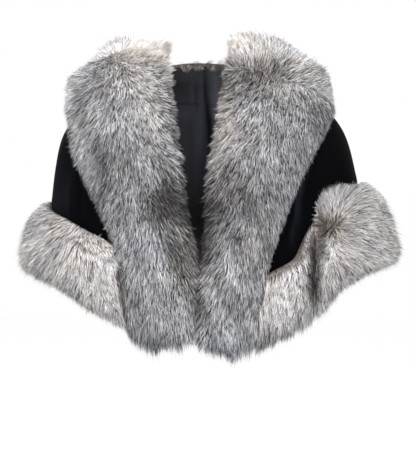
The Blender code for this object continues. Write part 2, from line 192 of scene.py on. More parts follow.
FURROWS = (
    Furrow(Side.LEFT, 5.58, 0.42, 0.60, 0.40, 0.30),
    Furrow(Side.LEFT, 2.10, 0.60, 0.20, 0.30, 0.12),
    Furrow(Side.LEFT, 2.20, 0.90, 1.00, 0.25, 0.30),
    Furrow(Side.LEFT, 7.00, 0.80, 0.50, 0.45, 0.37),
    Furrow(Side.LEFT, 5.70, 0.60, 1.00, 0.22, 0.32),
    Furrow(Side.LEFT, 7.40, 0.45, 0.10, 0.25, -0.34),
    Furrow(Side.LEFT, 6.20, 0.35, 0.62, 0.22, -0.20),
    Furrow(Side.RIGHT, 1.40, 0.60, 0.85, 0.30, 0.10),
    Furrow(Side.RIGHT, 7.45, 0.50, 0.30, 0.26, -0.36),
    Furrow(Side.RIGHT, 6.75, 0.40, 0.50, 0.30, 0.14),
    Furrow(Side.RIGHT, 6.15, 0.35, 0.72, 0.22, -0.20),
    Furrow(Side.RIGHT, 5.20, 0.50, 1.00, 0.25, 0.36),
)
NECK_DIPS = {Side.RIGHT: (7.95, 0.42, 0.34), Side.LEFT: (8.40, 0.35, 0.17)}
COLLAR_PILE = (
    PileRow(0.00, -0.35, 0.00),
    PileRow(0.00, -0.85, 0.20),
    PileRow(0.00, -1.00, 0.46),
    PileRow(0.00, -0.62, 0.75),
    PileRow(0.12, 0.00, 0.93),
    PileRow(0.30, 0.00, 1.00),
    PileRow(0.50, 0.00, 1.00),
    PileRow(0.70, 0.00, 0.91),
    PileRow(0.87, 0.00, 0.74),
    PileRow(1.00, 0.45, 0.50),
    PileRow(1.00, 1.00, 0.27),
    PileRow(1.00, 0.65, 0.13),
    PileRow(1.00, 0.00, 0.05),
)
BORDER_PILE = (
    PileRow(0.00, 0.00, 0.05),
    PileRow(0.00, -1.00, 0.26),
    PileRow(0.07, -0.40, 0.54),
    PileRow(0.25, 0.00, 0.80),
    PileRow(0.45, 0.00, 0.95),
    PileRow(0.65, 0.00, 1.00),
    PileRow(0.85, 0.00, 1.00),
    PileRow(1.00, 0.35, 0.92),
    PileRow(1.00, 0.80, 0.68),
    PileRow(1.00, 1.00, 0.38),
    PileRow(1.00, 0.88, 0.10),
    PileRow(1.00, 0.42, -0.04),
)


def mix(a: Amount, b: Amount, share: Amount) -> Amount:
    """Straight blend from a to b: a plus share of the way to b."""
    return a + (b - a) * share


def smooth_step(t: np.ndarray) -> np.ndarray:
    """The soft S 3t2 - 2t3 between 0 and 1, flat outside."""
    t = np.clip(t, 0.0, 1.0)
    return t * t * (3 - 2 * t)


def unit(vectors: np.ndarray) -> np.ndarray:
    """Vectors divided by their own lengths."""
    return vectors / np.maximum(np.linalg.norm(vectors, axis=-1, keepdims=True), 1e-12)


def dot(a: np.ndarray, b: np.ndarray) -> np.ndarray:
    """Dot products along the last axis, which is kept at length 1."""
    return np.sum(a * b, axis=-1, keepdims=True)


def ease_through(values: np.ndarray | tuple, places: Amount) -> np.ndarray:
    """Monotone cubic through evenly spaced values.

    The slope at a value is the harmonic mean of the steps on its two sides, or 0 where they differ in sign.
    Between values it is Hermite's cubic, and outside them it goes straight on.

    Args:
        values: The values, one for each row.
        places: Where to read it, counted in rows.

    Returns:
        The curve's values, with the shape of places.
    """
    values = np.asarray(values, float)
    places = np.asarray(places, float)
    steps = np.diff(values)
    slopes = np.concatenate((steps[:1], np.zeros(len(values) - 2), steps[-1:]))
    before, after = steps[:-1], steps[1:]
    same = before * after > 0
    total = np.where(same, before + after, 1.0)
    slopes[1:-1] = np.where(same, 2 * before * after / total, 0.0)
    row = np.clip(np.floor(places).astype(int), 0, len(steps) - 1)
    u = np.clip(places - row, 0.0, 1.0)
    inside = (
        values[row] * (1 + 2 * u) * (1 - u) ** 2
        + slopes[row] * u * (1 - u) ** 2
        + values[row + 1] * u * u * (3 - 2 * u)
        + slopes[row + 1] * u * u * (u - 1)
    )
    past = np.clip(places - len(steps), 0.0, None) * slopes[-1] + np.clip(places, None, 0.0) * slopes[0]
    return inside + past


def column(rows: tuple, name: str) -> np.ndarray:
    """One named column of a table."""
    return np.array([getattr(row, name) for row in rows], float)


def station_value(name: str, station: Amount) -> np.ndarray:
    """A column of the stations table, eased through at a station."""
    return ease_through(column(STATIONS, name), station)


class WrapForm:
    """The form of the worn wrap: superellipse rings in plan, with heights from the side to the middle."""

    def fold_shift(self, side: Side, angle: Amount, drop: Amount) -> tuple[np.ndarray, ...]:
        """Folds as bell curves across the angle, easing in with the drop and fading to the hem.

        Args:
            side: The wearer's side.
            angle: Degrees round the figure from the centre front.
            drop: The level.

        Returns:
            How far a point goes in, how far it goes down, and the share of the pile left there.
        """
        inwards = down = np.zeros(np.broadcast(angle, drop).shape)
        kept = np.ones_like(inwards)
        for fold in FOLDS:
            if fold.side is not side:
                continue
            rise = smooth_step((drop - fold.start) / (fold.full - fold.start))
            fade = np.clip((drop - fold.full) / (fold.end - fold.full), 0.0, 1.0)
            across = (angle - fold.angle) / fold.half_width
            near = rise * np.exp(-across * across)
            inwards = inwards + mix(fold.depth, fold.end_depth, fade) * near
            down = down + fold.front_drop * rise * (1 - fade) * smooth_step(0.5 - across / 2)
            kept = kept * (1 - fold.thinning * near * (1 - fade / 2))
        return inwards, down, kept

    def furrow_share(self, side: Side, station: Amount, share: Amount) -> np.ndarray:
        """The share of the collar's pile that its furrows, bell-shaped both ways, leave."""
        kept = np.ones(np.broadcast(station, share).shape)
        for furrow in FURROWS:
            if furrow.side is side:
                along = (station - furrow.station) / furrow.half_width
                across = (share - furrow.share) / furrow.half_share
                kept = kept * (1 - furrow.depth * np.exp(-(along**2) - across**2))
        return kept

    def surface(self, side: Side, angle: Amount, drop: Amount) -> np.ndarray:
        """Points of the cloth's outer face.

        In plan the radius r meets (r sin / reach)^p + (r cos / depth)^p = 1. The height goes from that of the
        side to that of the front or back with the cosine's power.

        Args:
            side: The wearer's side.
            angle: Degrees round the figure from the centre front.
            drop: The level.

        Returns:
            Points, with a last axis of 3.
        """
        angle, drop = np.broadcast_arrays(np.asarray(angle, float), np.asarray(drop, float))
        name = side.name.lower()
        sine, cosine = np.sin(np.radians(angle)), np.cos(np.radians(angle))

        def level(column_name: str) -> np.ndarray:
            """A column of the sections table at the drops."""
            return ease_through(column(SECTIONS, column_name), drop)

        ahead = cosine > 0
        end_z = np.where(ahead, level(f"{name}_front_z"), level("back_z"))
        depth = np.where(ahead, level("front_depth"), level("back_depth"))
        reach = level(f"{name}_reach")
        plan = (np.abs(sine) / reach) ** PLAN_POWER + (np.abs(cosine) / depth) ** PLAN_POWER
        inwards, down, _ = self.fold_shift(side, angle, drop)
        radius = plan ** (-1 / PLAN_POWER) - inwards
        height = mix(level(f"{name}_side_z"), end_z, np.abs(cosine) ** HEIGHT_POWER) - down
        return np.stack((side.value * radius * sine, -radius * cosine, height), axis=-1)

    def cloth(self, side: Side, angle: Amount, drop: Amount) -> tuple[np.ndarray, ...]:
        """Points, outward normals and downward directions, from half steps round and down."""
        around = self.surface(side, angle + ANGLE_STEP, drop) - self.surface(side, angle - ANGLE_STEP, drop)
        down = self.surface(side, angle, drop + DROP_STEP) - self.surface(side, angle, drop - DROP_STEP)
        return self.surface(side, angle, drop), unit(np.cross(down, around)) * side.value, unit(down)

    def collar_place(self, side: Side, station: Amount, share: Amount) -> AngleAndDrop:
        """Angle and drop on the collar: share 0 is the front edge or neckline, and 1 its outer edge."""
        outer_angle = station_value(side.named("outer_angle"), station)
        place, half_width, depth = NECK_DIPS[side]
        dip = depth * np.exp(-(((station - place) / half_width) ** 2))
        inner_drop = station_value("inner_drop", station) + dip
        return (
            mix(station_value("inner_angle", station), outer_angle, share),
            mix(inner_drop, station_value("outer_drop", station), share),
        )

    def round_angle(self, side: Side, station: Amount, corner: float) -> np.ndarray:
        """Angles on a line round the hem, from the collar's corner to the centre back."""
        corner_angle, _ = self.collar_place(side, corner, 1.0)
        return 180 - (180 - corner_angle) * station_value("hem_share", station)

    def shell_place(self, side: Side, station: Amount, share: Amount) -> AngleAndDrop:
        """Angle and drop on the velvet: share 0 is the collar's outer edge, and 1 the border's seam."""
        top_angle, top_drop = self.collar_place(side, station, 1.0)
        seam_angle = self.round_angle(side, station, SEAM_STATION)
        return mix(top_angle, seam_angle, share), mix(top_drop, SEAM_DROP, share)

    def border_place(self, side: Side, station: Amount, share: Amount) -> AngleAndDrop:
        """Angle and drop on the border: share 0 is its seam and 1 its hem, bowed with the collar's edge."""
        seam_corner, seam_drop = self.collar_place(side, SEAM_STATION, 1.0)
        hem_corner, hem_drop = self.collar_place(side, 0.0, 1.0)
        edge_angle, edge_drop = self.collar_place(side, SEAM_STATION * (1 - share), 1.0)
        near_front = np.clip(1 - (station - SEAM_STATION) / BOW_STATIONS, 0.0, None)
        seam_angle, hem_angle = (self.round_angle(side, station, corner) for corner in (SEAM_STATION, 0.0))
        angle = mix(seam_angle, hem_angle, share)
        drop = mix(SEAM_DROP, HEM_DROP, share)
        return (
            angle + (edge_angle - mix(seam_corner, hem_corner, share)) * near_front,
            drop + (edge_drop - mix(seam_drop, hem_drop, share)) * near_front,
        )


FORM = WrapForm()


@dataclass(frozen=True)
class SheetGrid:
    """A grid of points with outward normals and plain coordinates, stations by shares."""

    points: np.ndarray
    normals: np.ndarray
    station: np.ndarray
    share: np.ndarray

    def moved(self, out: Amount) -> "SheetGrid":
        """The grid moved along its normals by out, an array or a number."""
        out = np.broadcast_to(out, self.station.shape)[..., None]
        return SheetGrid(self.points + self.normals * out, self.normals, self.station, self.share)


def lay_grid(
    side: Side, place: Callable[..., AngleAndDrop], stations: np.ndarray, shares: np.ndarray
) -> SheetGrid:
    """Reads the form on a grid.

    Args:
        side: The wearer's side.
        place: One of the form's place functions.
        stations: Stations along it.
        shares: Shares across it.

    Returns:
        The grid, whose normals point out of the wrap.
    """
    station, share = np.meshgrid(stations, shares, indexing="ij")
    points, normals, _ = FORM.cloth(side, *place(side, station, share))
    return SheetGrid(points, normals, station, share)


def both_halves(right: SheetGrid, left: SheetGrid) -> SheetGrid:
    """Joins two halves that meet at the centre back into one grid, from the wearer's right to the left."""
    joined = {
        f.name: np.concatenate((getattr(right, f.name), getattr(left, f.name)[-2::-1])) for f in fields(right)
    }
    return SheetGrid(**joined)


def grid_faces(rows: int, columns: int, first: int = 0, wrap: bool = False) -> np.ndarray:
    """Quads of a grid of vertices in row order, one for each cell, as four corner numbers."""
    numbers = np.arange(rows * columns).reshape(rows, columns) + first
    if wrap:
        numbers = np.concatenate((numbers, numbers[:, :1]), axis=1)
    corners = (numbers[:-1, :-1], numbers[1:, :-1], numbers[1:, 1:], numbers[:-1, 1:])
    return np.stack(corners, axis=-1).reshape(-1, 4)


def put_mesh(
    name: str, points: np.ndarray, corners: np.ndarray, starts: np.ndarray, sizes: np.ndarray
) -> Piece:
    """Puts whole arrays into a new mesh object.

    Args:
        name: The object's name.
        points: Vertices.
        corners: Vertex numbers of all faces, one after the other.
        starts: Where each face begins in corners.
        sizes: How many corners each face has.

    Returns:
        The object, linked to the scene and shaded smooth.
    """
    mesh = bpy.data.meshes.new(name)
    mesh.vertices.add(len(points))
    mesh.vertices.foreach_set("co", np.ascontiguousarray(points, np.float32).ravel())
    mesh.loops.add(len(corners))
    mesh.loops.foreach_set("vertex_index", np.ascontiguousarray(corners, np.int32))
    mesh.polygons.add(len(starts))
    mesh.polygons.foreach_set("loop_start", np.ascontiguousarray(starts, np.int32))
    mesh.polygons.foreach_set("loop_total", np.ascontiguousarray(sizes, np.int32))
    mesh.update(calc_edges=True)
    mesh.validate()
    mesh.shade_smooth()
    piece = bpy.data.objects.new(name, mesh)
    bpy.context.scene.collection.objects.link(piece)
    return piece


def quad_mesh(name: str, points: np.ndarray, quads: np.ndarray, outwards: np.ndarray) -> Piece:
    """A mesh of quads whose faces are turned to agree with the outward directions of their first corners.

    Args:
        name: The object's name.
        points: Vertices.
        quads: Four corner numbers for each face.
        outwards: An outward direction for each vertex.

    Returns:
        The object.
    """
    a, b, c, d = (points[quads[:, i]] for i in range(4))
    facing = dot(np.cross(c - a, d - b), outwards[quads[:, 0]]).sum()
    if facing < 0:
        quads = quads[:, ::-1]
    starts = np.arange(len(quads)) * 4
    return put_mesh(name, points, quads.ravel(), starts, np.full(len(quads), 4))


def thin_shell(name: str, grid: SheetGrid, wall: float, tones: tuple["Patch", ...] = ()) -> Piece:
    """A closed thin wall: the grid, the same grid moved in by the wall, and strips round the rim.

    Its points carry a tone: a half, plus each patch's lightness times its bell in x and z. The patches paint
    light and shade into the cloth's colour: painted sheen, highlights and shade.

    Args:
        name: The object's name.
        grid: The outer face.
        wall: The wall's thickness.
        tones: Where the cloth is painted lighter or darker: painted sheen, highlights and shade.

    Returns:
        The object.
    """
    rows, columns = grid.station.shape
    inner = grid.points - grid.normals * wall
    points = np.concatenate((grid.points.reshape(-1, 3), inner.reshape(-1, 3)))
    outer_faces = grid_faces(rows, columns)
    numbers = np.arange(rows * columns).reshape(rows, columns)
    rim = np.concatenate((numbers[:, 0], numbers[-1, 1:], numbers[-2::-1, -1], numbers[0, -2:0:-1]))
    ahead = np.roll(rim, -1)
    sides = np.stack((rim, ahead, ahead + rows * columns, rim + rows * columns), axis=-1)
    quads = np.concatenate((outer_faces, outer_faces[:, ::-1] + rows * columns, sides[:, ::-1]))
    a, b, c, d = (points[outer_faces[:, i]] for i in range(4))
    if dot(np.cross(c - a, d - b), grid.normals.reshape(-1, 3)[outer_faces[:, 0]]).sum() < 0:
        quads = quads[:, ::-1]
    starts = np.arange(len(quads)) * 4
    piece = put_mesh(name, points, quads.ravel(), starts, np.full(len(quads), 4))
    piece.data.set_sharp_from_angle(angle=SHARP_ANGLE)
    # The tone is painted light and shade: the patches paint sheen, highlights and shade into the colour.
    tone = 0.5 + sum((patch.bell(points) * patch.lightness for patch in tones), np.zeros(len(points)))
    attribute = piece.data.attributes.new("tone", "FLOAT", "POINT")
    attribute.data.foreach_set("value", np.clip(tone, 0, 1).astype(np.float32))
    return piece


def soft_noise(points: np.ndarray, wavelength: float, seed: int, waves: int = 9) -> np.ndarray:
    """Smooth noise of about -1 to 1: a sum of sine waves in seeded directions and phases.

    Args:
        points: Where to read it.
        wavelength: The mean length of a wave.
        seed: The seed.
        waves: How many waves are added.

    Returns:
        One value for each point.
    """
    rng = np.random.default_rng(seed)
    ways = unit(rng.normal(size=(waves, 3))) * (2 * np.pi / wavelength) * rng.uniform(0.7, 1.5, (waves, 1))
    phases = rng.uniform(0, 2 * np.pi, waves)
    return np.sin(points @ ways.T + phases).sum(axis=-1) * (1.4 / waves**0.5)


class NodeDesk:
    """Lays out a material's nodes in short calls."""

    def __init__(self, name: str) -> None:
        """Starts an empty material with a Principled shader and its output."""
        self.material = bpy.data.materials.new(name)
        self.material.use_nodes = True
        self.tree = self.material.node_tree
        self.shader = self.tree.nodes["Principled BSDF"]

    def node(self, kind: str, **settings: object) -> bpy.types.Node:
        """Adds a node, sets its properties, and its inputs where a setting's name is one."""
        made = self.tree.nodes.new(kind)
        for name, value in settings.items():
            label = name.replace("_", " ").title()
            if label in made.inputs:
                made.inputs[label].default_value = value
            else:
                setattr(made, name, value)
        return made

    def link(self, source: Socket, target: Socket) -> None:
        """Joins an output to an input."""
        self.tree.links.new(source, target)

    def set(self, **values: float) -> None:
        """Sets constants on the shader's own sockets."""
        for name, value in values.items():
            self.shader.inputs[name.replace("_", " ")].default_value = value

    def ramp(self, source: Socket, stops: tuple[tuple[float, Triple], ...]) -> Socket:
        """A colour ramp through stops, each a place and a colour."""
        ramp = self.tree.nodes.new("ShaderNodeValToRGB")
        first, last = ramp.color_ramp.elements[0], ramp.color_ramp.elements[-1]
        first.position, last.position = stops[0][0], stops[-1][0]
        first.color, last.color = (*stops[0][1], 1), (*stops[-1][1], 1)
        for place, color in stops[1:-1]:
            ramp.color_ramp.elements.new(place).color = (*color, 1)
        self.link(source, ramp.inputs["Fac"])
        return ramp.outputs["Color"]

    def noise(self, scale: float, detail: float, stretch: Triple = (1.0, 1.0, 1.0)) -> Socket:
        """Noise on Object coordinates, stretched by the scale along each axis."""
        coordinates = self.tree.nodes.new("ShaderNodeTexCoord")
        mapping = self.tree.nodes.new("ShaderNodeMapping")
        mapping.inputs["Scale"].default_value = stretch
        texture = self.tree.nodes.new("ShaderNodeTexNoise")
        texture.inputs["Scale"].default_value = scale
        texture.inputs["Detail"].default_value = detail
        self.link(coordinates.outputs["Object"], mapping.inputs["Vector"])
        self.link(mapping.outputs["Vector"], texture.inputs["Vector"])
        return texture.outputs["Fac"]

    def toned(self, slow: Socket, share: float) -> Socket:
        """The piece's own tone, which holds its painted light and shade, plus a share of a slow noise about
        its middle.
        """
        source = self.node("ShaderNodeAttribute", attribute_name="tone")
        math = self.node("ShaderNodeMath", operation="MULTIPLY_ADD")
        math.inputs[1].default_value = share
        self.link(slow, math.inputs[0])
        self.link(source.outputs["Fac"], math.inputs[2])
        lower = self.node("ShaderNodeMath", operation="SUBTRACT")
        lower.inputs[1].default_value = share / 2
        self.link(math.outputs[0], lower.inputs[0])
        return lower.outputs[0]

    def bump(self, height: Socket, strength: float, distance: float) -> None:
        """Puts a height into the shader's normal."""
        bump = self.tree.nodes.new("ShaderNodeBump")
        bump.inputs["Strength"].default_value = strength
        bump.inputs["Distance"].default_value = distance
        self.link(height, bump.inputs["Height"])
        self.link(bump.outputs["Normal"], self.shader.inputs["Normal"])


@dataclass(frozen=True)
class HairFinish:
    """The hairs' finish: colour from their own attribute, with a soft gloss."""

    name: str = "silver_hair"
    attribute: str = "hair_colour"
    roughness: float = 0.62
    sheen: float = 0.10

    def make(self) -> bpy.types.Material:
        """The material, whose colour is read from the hair's attribute."""
        desk = NodeDesk(self.name)
        source = desk.node("ShaderNodeAttribute", attribute_name=self.attribute)
        desk.link(source.outputs["Color"], desk.shader.inputs["Base Color"])
        desk.set(Roughness=self.roughness, Sheen_Weight=self.sheen, Sheen_Roughness=0.5)
        desk.shader.inputs["Specular IOR Level"].default_value = 0.25
        return desk.material


@dataclass(frozen=True)
class UndercoatFinish:
    """The dense short underfur that shows between the hairs."""

    name: str
    dark: Triple
    light: Triple

    def make(self) -> bpy.types.Material:
        """The material: fine streaks, longer down than across, between a dark and a lighter tone."""
        desk = NodeDesk(self.name)
        streaks = desk.noise(420.0, 3.0, (1.0, 1.0, 0.22))
        color = desk.ramp(streaks, ((0.32, self.dark), (0.72, self.light)))
        desk.link(color, desk.shader.inputs["Base Color"])
        desk.set(Roughness=0.9)
        desk.bump(streaks, 0.8, 0.003)
        return desk.material


@dataclass(frozen=True)
class VelvetFinish:
    """Deep black velvet: almost no colour of its own, and a soft sheen where it turns away."""

    name: str = "black_velvet"
    color: Triple = (0.0020, 0.0021, 0.0029)
    # light is the painted sheen: the colour on the painted ridges, where the tone is 1.
    light: Triple = (0.0150, 0.0165, 0.0230)
    sheen: float = 0.010

    def make(self) -> bpy.types.Material:
        """The material: a fine nap, and a colour that lightens and darkens in soft cloudy patches of painted
        sheen and with the piece's tone, its painted sheen ridges and shade.
        """
        desk = NodeDesk(self.name)
        clouds = desk.noise(22.0, 4.0, (1.0, 1.0, 0.45))
        nap = desk.noise(1900.0, 2.0)
        # dark is painted shade, where the tone is low.
        dark = tuple(0.3 * c for c in self.color)
        stops = ((0.0, dark), (0.5, self.color), (1.0, self.light))
        desk.link(desk.ramp(desk.toned(clouds, 0.12), stops), desk.shader.inputs["Base Color"])
        desk.set(Roughness=0.95, Sheen_Weight=self.sheen, Sheen_Roughness=0.35)
        desk.shader.inputs["Specular IOR Level"].default_value = 0.03
        desk.bump(nap, 0.25, 0.0006)
        return desk.material


@dataclass(frozen=True)
class SatinFinish:
    """Black lining satin with a fine warp."""

    name: str = "black_satin"
    color: Triple = (0.0255, 0.0262, 0.0350)
    # light is the painted highlight: the colour where the tone is 1.
    light: Triple = (0.0750, 0.0760, 0.0960)
    roughness: float = 0.42

    def make(self) -> bpy.types.Material:
        """The material: fine lines down the cloth over a slow change of tone, and the tone attribute's
        painted shade and highlights.
        """
        desk = NodeDesk(self.name)
        slow = desk.noise(9.0, 3.0, (1.0, 1.0, 0.35))
        warp = desk.noise(1500.0, 1.0, (1.0, 1.0, 0.05))
        # The ramp runs from near-black painted shadow at tone 0 through the satin's colour to the painted
        # highlight at tone 1.
        stops = ((0.0, (0.0005, 0.0005, 0.0008)), (0.5, self.color), (1.0, self.light))
        desk.link(desk.ramp(desk.toned(slow, 0.20), stops), desk.shader.inputs["Base Color"])
        desk.set(Roughness=self.roughness)
        desk.shader.inputs["Specular IOR Level"].default_value = 0.2
        desk.bump(warp, 0.18, 0.0004)
        return desk.material


@dataclass(frozen=True)
class HairKind:
    """One kind of hair: its colours at the root, low, high and at the tip, and its build."""

    name: str
    colors: tuple[Triple, ...]
    width: float
    length: float


HAIR_KINDS = (
    HairKind("white", ((0.16, 0.155, 0.155), (0.68, 0.67, 0.67), (0.90, 0.90, 0.90)), 1.0, 1.0),
    HairKind("silver", ((0.09, 0.086, 0.086), (0.36, 0.355, 0.36), (0.56, 0.555, 0.56)), 0.9, 0.95),
    HairKind("banded", ((0.12, 0.115, 0.112), (0.62, 0.61, 0.61), (0.04, 0.038, 0.04)), 1.0, 1.05),
    HairKind("black", ((0.05, 0.047, 0.047), (0.025, 0.023, 0.024), (0.03, 0.028, 0.03)), 0.85, 1.0),
    HairKind("brown", ((0.06, 0.05, 0.044), (0.21, 0.18, 0.16), (0.26, 0.23, 0.205)), 0.9, 0.85),
)
KNOTS = np.array((0.0, 0.5, 1.0))
KNOT_WIDTHS = np.array((0.8, 1.0, 0.0))
LIGHTNESS_LEVELS = 10
WARMTH_LEVELS = 5
DARKEST, LIGHTEST = 0.30, 1.25
COOLEST = np.array((0.93, 0.96, 1.03))
WARMEST = np.array((1.10, 1.00, 0.90))


@dataclass(frozen=True)
class Patch:
    """A soft patch of tone on fur or cloth, at x and z, with half sizes. Many patches paint light and shade:
    painted sheen, highlights and shade.
    """

    x: float
    z: float
    half_x: float
    half_z: float
    lightness: float
    warmth: float = 0.0
    dark_hair: float = 0.0

    def bell(self, points: np.ndarray) -> np.ndarray:
        """How strongly the patch counts at points: a bell in x and z."""
        across = (points[:, 0] - self.x) / self.half_x
        return np.exp(-(across**2) - ((points[:, 2] - self.z) / self.half_z) ** 2)


@dataclass(frozen=True)
class Lie:
    """How the hair lies at one station: towards the front hem, across at both edges, and how upright."""

    along: float
    inner: float
    outer: float
    stand: float


@dataclass(frozen=True)
class PileGrid:
    """The pile's fields on a grid of stations by turns round its outline."""

    root: np.ndarray
    crown: np.ndarray
    lie: np.ndarray
    stand: np.ndarray
    anchor: np.ndarray
    weight: np.ndarray

    @property
    def outwards(self) -> np.ndarray:
        """Directions from the hide to the crown."""
        return unit(self.crown - self.root)

    def areas(self) -> np.ndarray:
        """The area of each cell of the crown: half the length of its crossed diagonals."""
        first = self.crown[1:, 1:] - self.crown[:-1, :-1]
        second = self.crown[1:, :-1] - self.crown[:-1, 1:]
        return 0.5 * np.linalg.norm(np.cross(first, second), axis=-1)

    def read(self, values: np.ndarray, row: np.ndarray, turn: np.ndarray) -> np.ndarray:
        """Straight blends of a grid's values between its rows and turns."""
        i = np.clip(row.astype(int), 0, values.shape[0] - 2)
        j = np.clip(turn.astype(int), 0, values.shape[1] - 2)
        u, v = row - i, turn - j
        if values.ndim == 3:
            u, v = u[:, None], v[:, None]
        return mix(mix(values[i, j], values[i + 1, j], u), mix(values[i, j + 1], values[i + 1, j + 1], u), v)

    def normals(self) -> np.ndarray:
        """Unit normals of the crown, turned to point the way of the outward directions."""
        normals = unit(np.cross(np.gradient(self.crown, axis=0), np.gradient(self.crown, axis=1)))
        flip = np.sign(dot(normals, self.outwards).mean())
        return normals * flip


@dataclass(frozen=True)
class Coat:
    """How a pelt's hair is cut and coloured."""

    per_area: float
    length: float
    width: float
    lightness: float
    warmth: float
    white: float
    banded: float
    black: float
    brown: float
    clump: float = 0.0045
    gather: float = 0.12
    root_depth: float = 0.55
    stray: float = 0.08
    seed: int = 1


@dataclass
class Pelt:
    """One fur piece: hide, undercoat and hair, in place of one CAD node."""

    node: str
    grid: PileGrid
    hide: SheetGrid
    coat: Coat
    patches: tuple[Patch, ...]
    finishes: Finishes
    slot: str
    undercoat: str
    rests_on: tuple[str, ...]
    cut: Cut
    split: int = 1
    label: str = ""
    pieces: list[Piece] = field(default_factory=list)

    def build(self) -> None:
        """Builds the hide, undercoat and hair."""
        hide = thin_shell(f"{self.node}_hide", self.hide, SHELL_WALL)
        hide.data.materials.append(self.finishes["satin"])
        coat = self.make_undercoat()
        hairs = self.grow()
        self.pieces = [hide, coat, *hairs]
        for piece in self.pieces:
            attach(piece, BODY)
            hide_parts(self.node)

    def make_undercoat(self) -> Piece:
        """The skin of dense underfur, a closed tube: part of the way from the hide to the crown, less of it
        at both edges, and back just over the hide, with flat ends."""
        turn = np.linspace(0, 1, self.grid.root.shape[1])[None, :, None]
        share = 0.60 - 0.28 * (2 - smooth_step(turn / 0.22) - smooth_step((1 - turn) / 0.15))
        outer = mix(self.grid.root, self.grid.crown, share)[::2, ::2]
        under = mix(self.grid.root, self.grid.crown, 0.02)[::2, ::4]
        ring = np.concatenate((outer, under[:, ::-1]), axis=1)
        rows, columns = ring.shape[:2]
        points = ring.reshape(-1, 3)
        quads = grid_faces(rows, columns, wrap=True)
        middle = ring.mean(axis=1, keepdims=True)
        outwards = (ring - middle).reshape(-1, 3)
        piece = quad_mesh(f"{self.node}_undercoat", points, quads, outwards)
        piece.data.materials.append(self.finishes[self.undercoat])
        return piece

    def grow(self) -> list[Piece]:
        """Grows the hair, split over the piece's given number of meshes.

        Places on the crown are picked with its area as weight, and ordered along the piece.

        Returns:
            The meshes.
        """
        rng = np.random.default_rng(self.coat.seed)
        areas = self.grid.areas() * self.grid.weight[:-1, :-1]
        total = areas.sum()
        count = int(total * CM2_PER_M2 * self.coat.per_area)
        picked = rng.choice(areas.size, count, p=(areas / total).ravel())
        row = picked // areas.shape[1] + rng.random(count)
        turn = picked % areas.shape[1] + rng.random(count)
        order = np.argsort(row)
        row, turn = row[order], turn[order]
        LOG.info("%s: %d hairs on %.4f square metres", self.label or self.node, count, total)
        hairs = self.comb(row, turn, rng)
        parts = np.array_split(np.arange(count), self.split)
        return [self.hair_mesh(hairs, part, k) for k, part in enumerate(parts)]

    def comb(self, row: np.ndarray, turn: np.ndarray, rng: Random) -> dict[str, np.ndarray]:
        """Works out every hair's middle line, width direction, width and colour cell.

        A hair starts root_depth of the way up the pile, rises outwards and runs along its lie, so its middle
        line is root + rise (1 - (1 - v)^1.7) + run v^1.3. Where the anchor is 1 the tip meets the crown at
        the picked place, and where it is 0 the root lies under it. The tip is drawn to the nearest clump.

        Args:
            row: Places along the grid, counted in rows.
            turn: Places round the outline, counted in turns.
            rng: The piece's random numbers.

        Returns:
            Arrays by name, one entry for each hair.
        """
        grid, coat = self.grid, self.coat
        count = len(row)
        base = grid.read(grid.root, row, turn)
        crown = grid.read(grid.crown, row, turn)
        normal = unit(grid.read(grid.normals(), row, turn))
        lie = unit(grid.read(grid.lie, row, turn))
        stand = grid.read(grid.stand, row, turn)
        anchor = grid.read(grid.anchor, row, turn)
        pile = np.linalg.norm(crown - base, axis=1)
        outwards = (crown - base) / np.maximum(pile, 1e-6)[:, None]
        kind = self.pick_kinds(crown, rng)
        sway = soft_noise(crown, 0.085, coat.seed + 5) * 0.08 + soft_noise(crown, 0.028, coat.seed + 6) * 0.06
        stray = rng.random(count) < coat.stray
        sway = sway + rng.normal(0, 0.09, count) + rng.normal(0, 0.45, count) * stray
        sway = sway + rng.normal(0, 1.6, count) * np.clip(stand - 0.3, 0, None)
        across = unit(np.cross(normal, lie))
        lie = lie * np.cos(sway)[:, None] + across * np.sin(sway)[:, None]
        root_share = coat.root_depth + rng.uniform(-0.14, 0.10, count)
        proud = rng.normal(0.02, 0.05, count) + 0.04 * soft_noise(crown, 0.022, coat.seed + 7)
        rise = (1 + proud + 0.10 * stray - root_share) * pile
        length = coat.length * np.array([k.length for k in HAIR_KINDS])[kind] * rng.uniform(0.72, 1.12, count)
        length = np.minimum(length, 0.80 * pile + 0.006 + 0.010 * (pile < 0.008)) * (1 + 0.12 * stray)
        run = np.sqrt(np.maximum(length**2 - rise**2, (0.18 * length) ** 2)) * (1 - stand)
        back = run * anchor * rng.uniform(0.80, 1.0, count) * (1 - 0.25 * stray)
        root = base + outwards * (root_share * pile)[:, None] - lie * back[:, None]
        tip = root + outwards * rise[:, None] + lie * run[:, None]
        drawn = self.clump_centres(tip)
        pull = (drawn - tip) * (coat.gather * rng.uniform(0.5, 1.0, count))[:, None]
        ups = 1 - (1 - KNOTS) ** 1.7
        runs = KNOTS**1.3
        line = (
            root[:, None]
            + outwards[:, None] * rise[:, None, None] * ups[None, :, None]
            + lie[:, None] * run[:, None, None] * runs[None, :, None]
            + pull[:, None] * (KNOTS**1.5)[None, :, None]
        )
        heading = unit(line[:, -1] - line[:, 0])
        flat = unit(np.cross(heading, normal))
        raised = np.cross(flat, heading)
        twist = rng.normal(0, 0.35, count)[:, None]
        width_way = flat * np.cos(twist) + raised * np.sin(twist)
        width = coat.width * np.array([k.width for k in HAIR_KINDS])[kind] * rng.uniform(0.75, 1.25, count)
        width = width * (1 - 0.4 * stray)
        return {
            "line": line,
            "width_way": width_way,
            "width": width,
            "cell": self.pick_cells(crown, kind, rng),
        }

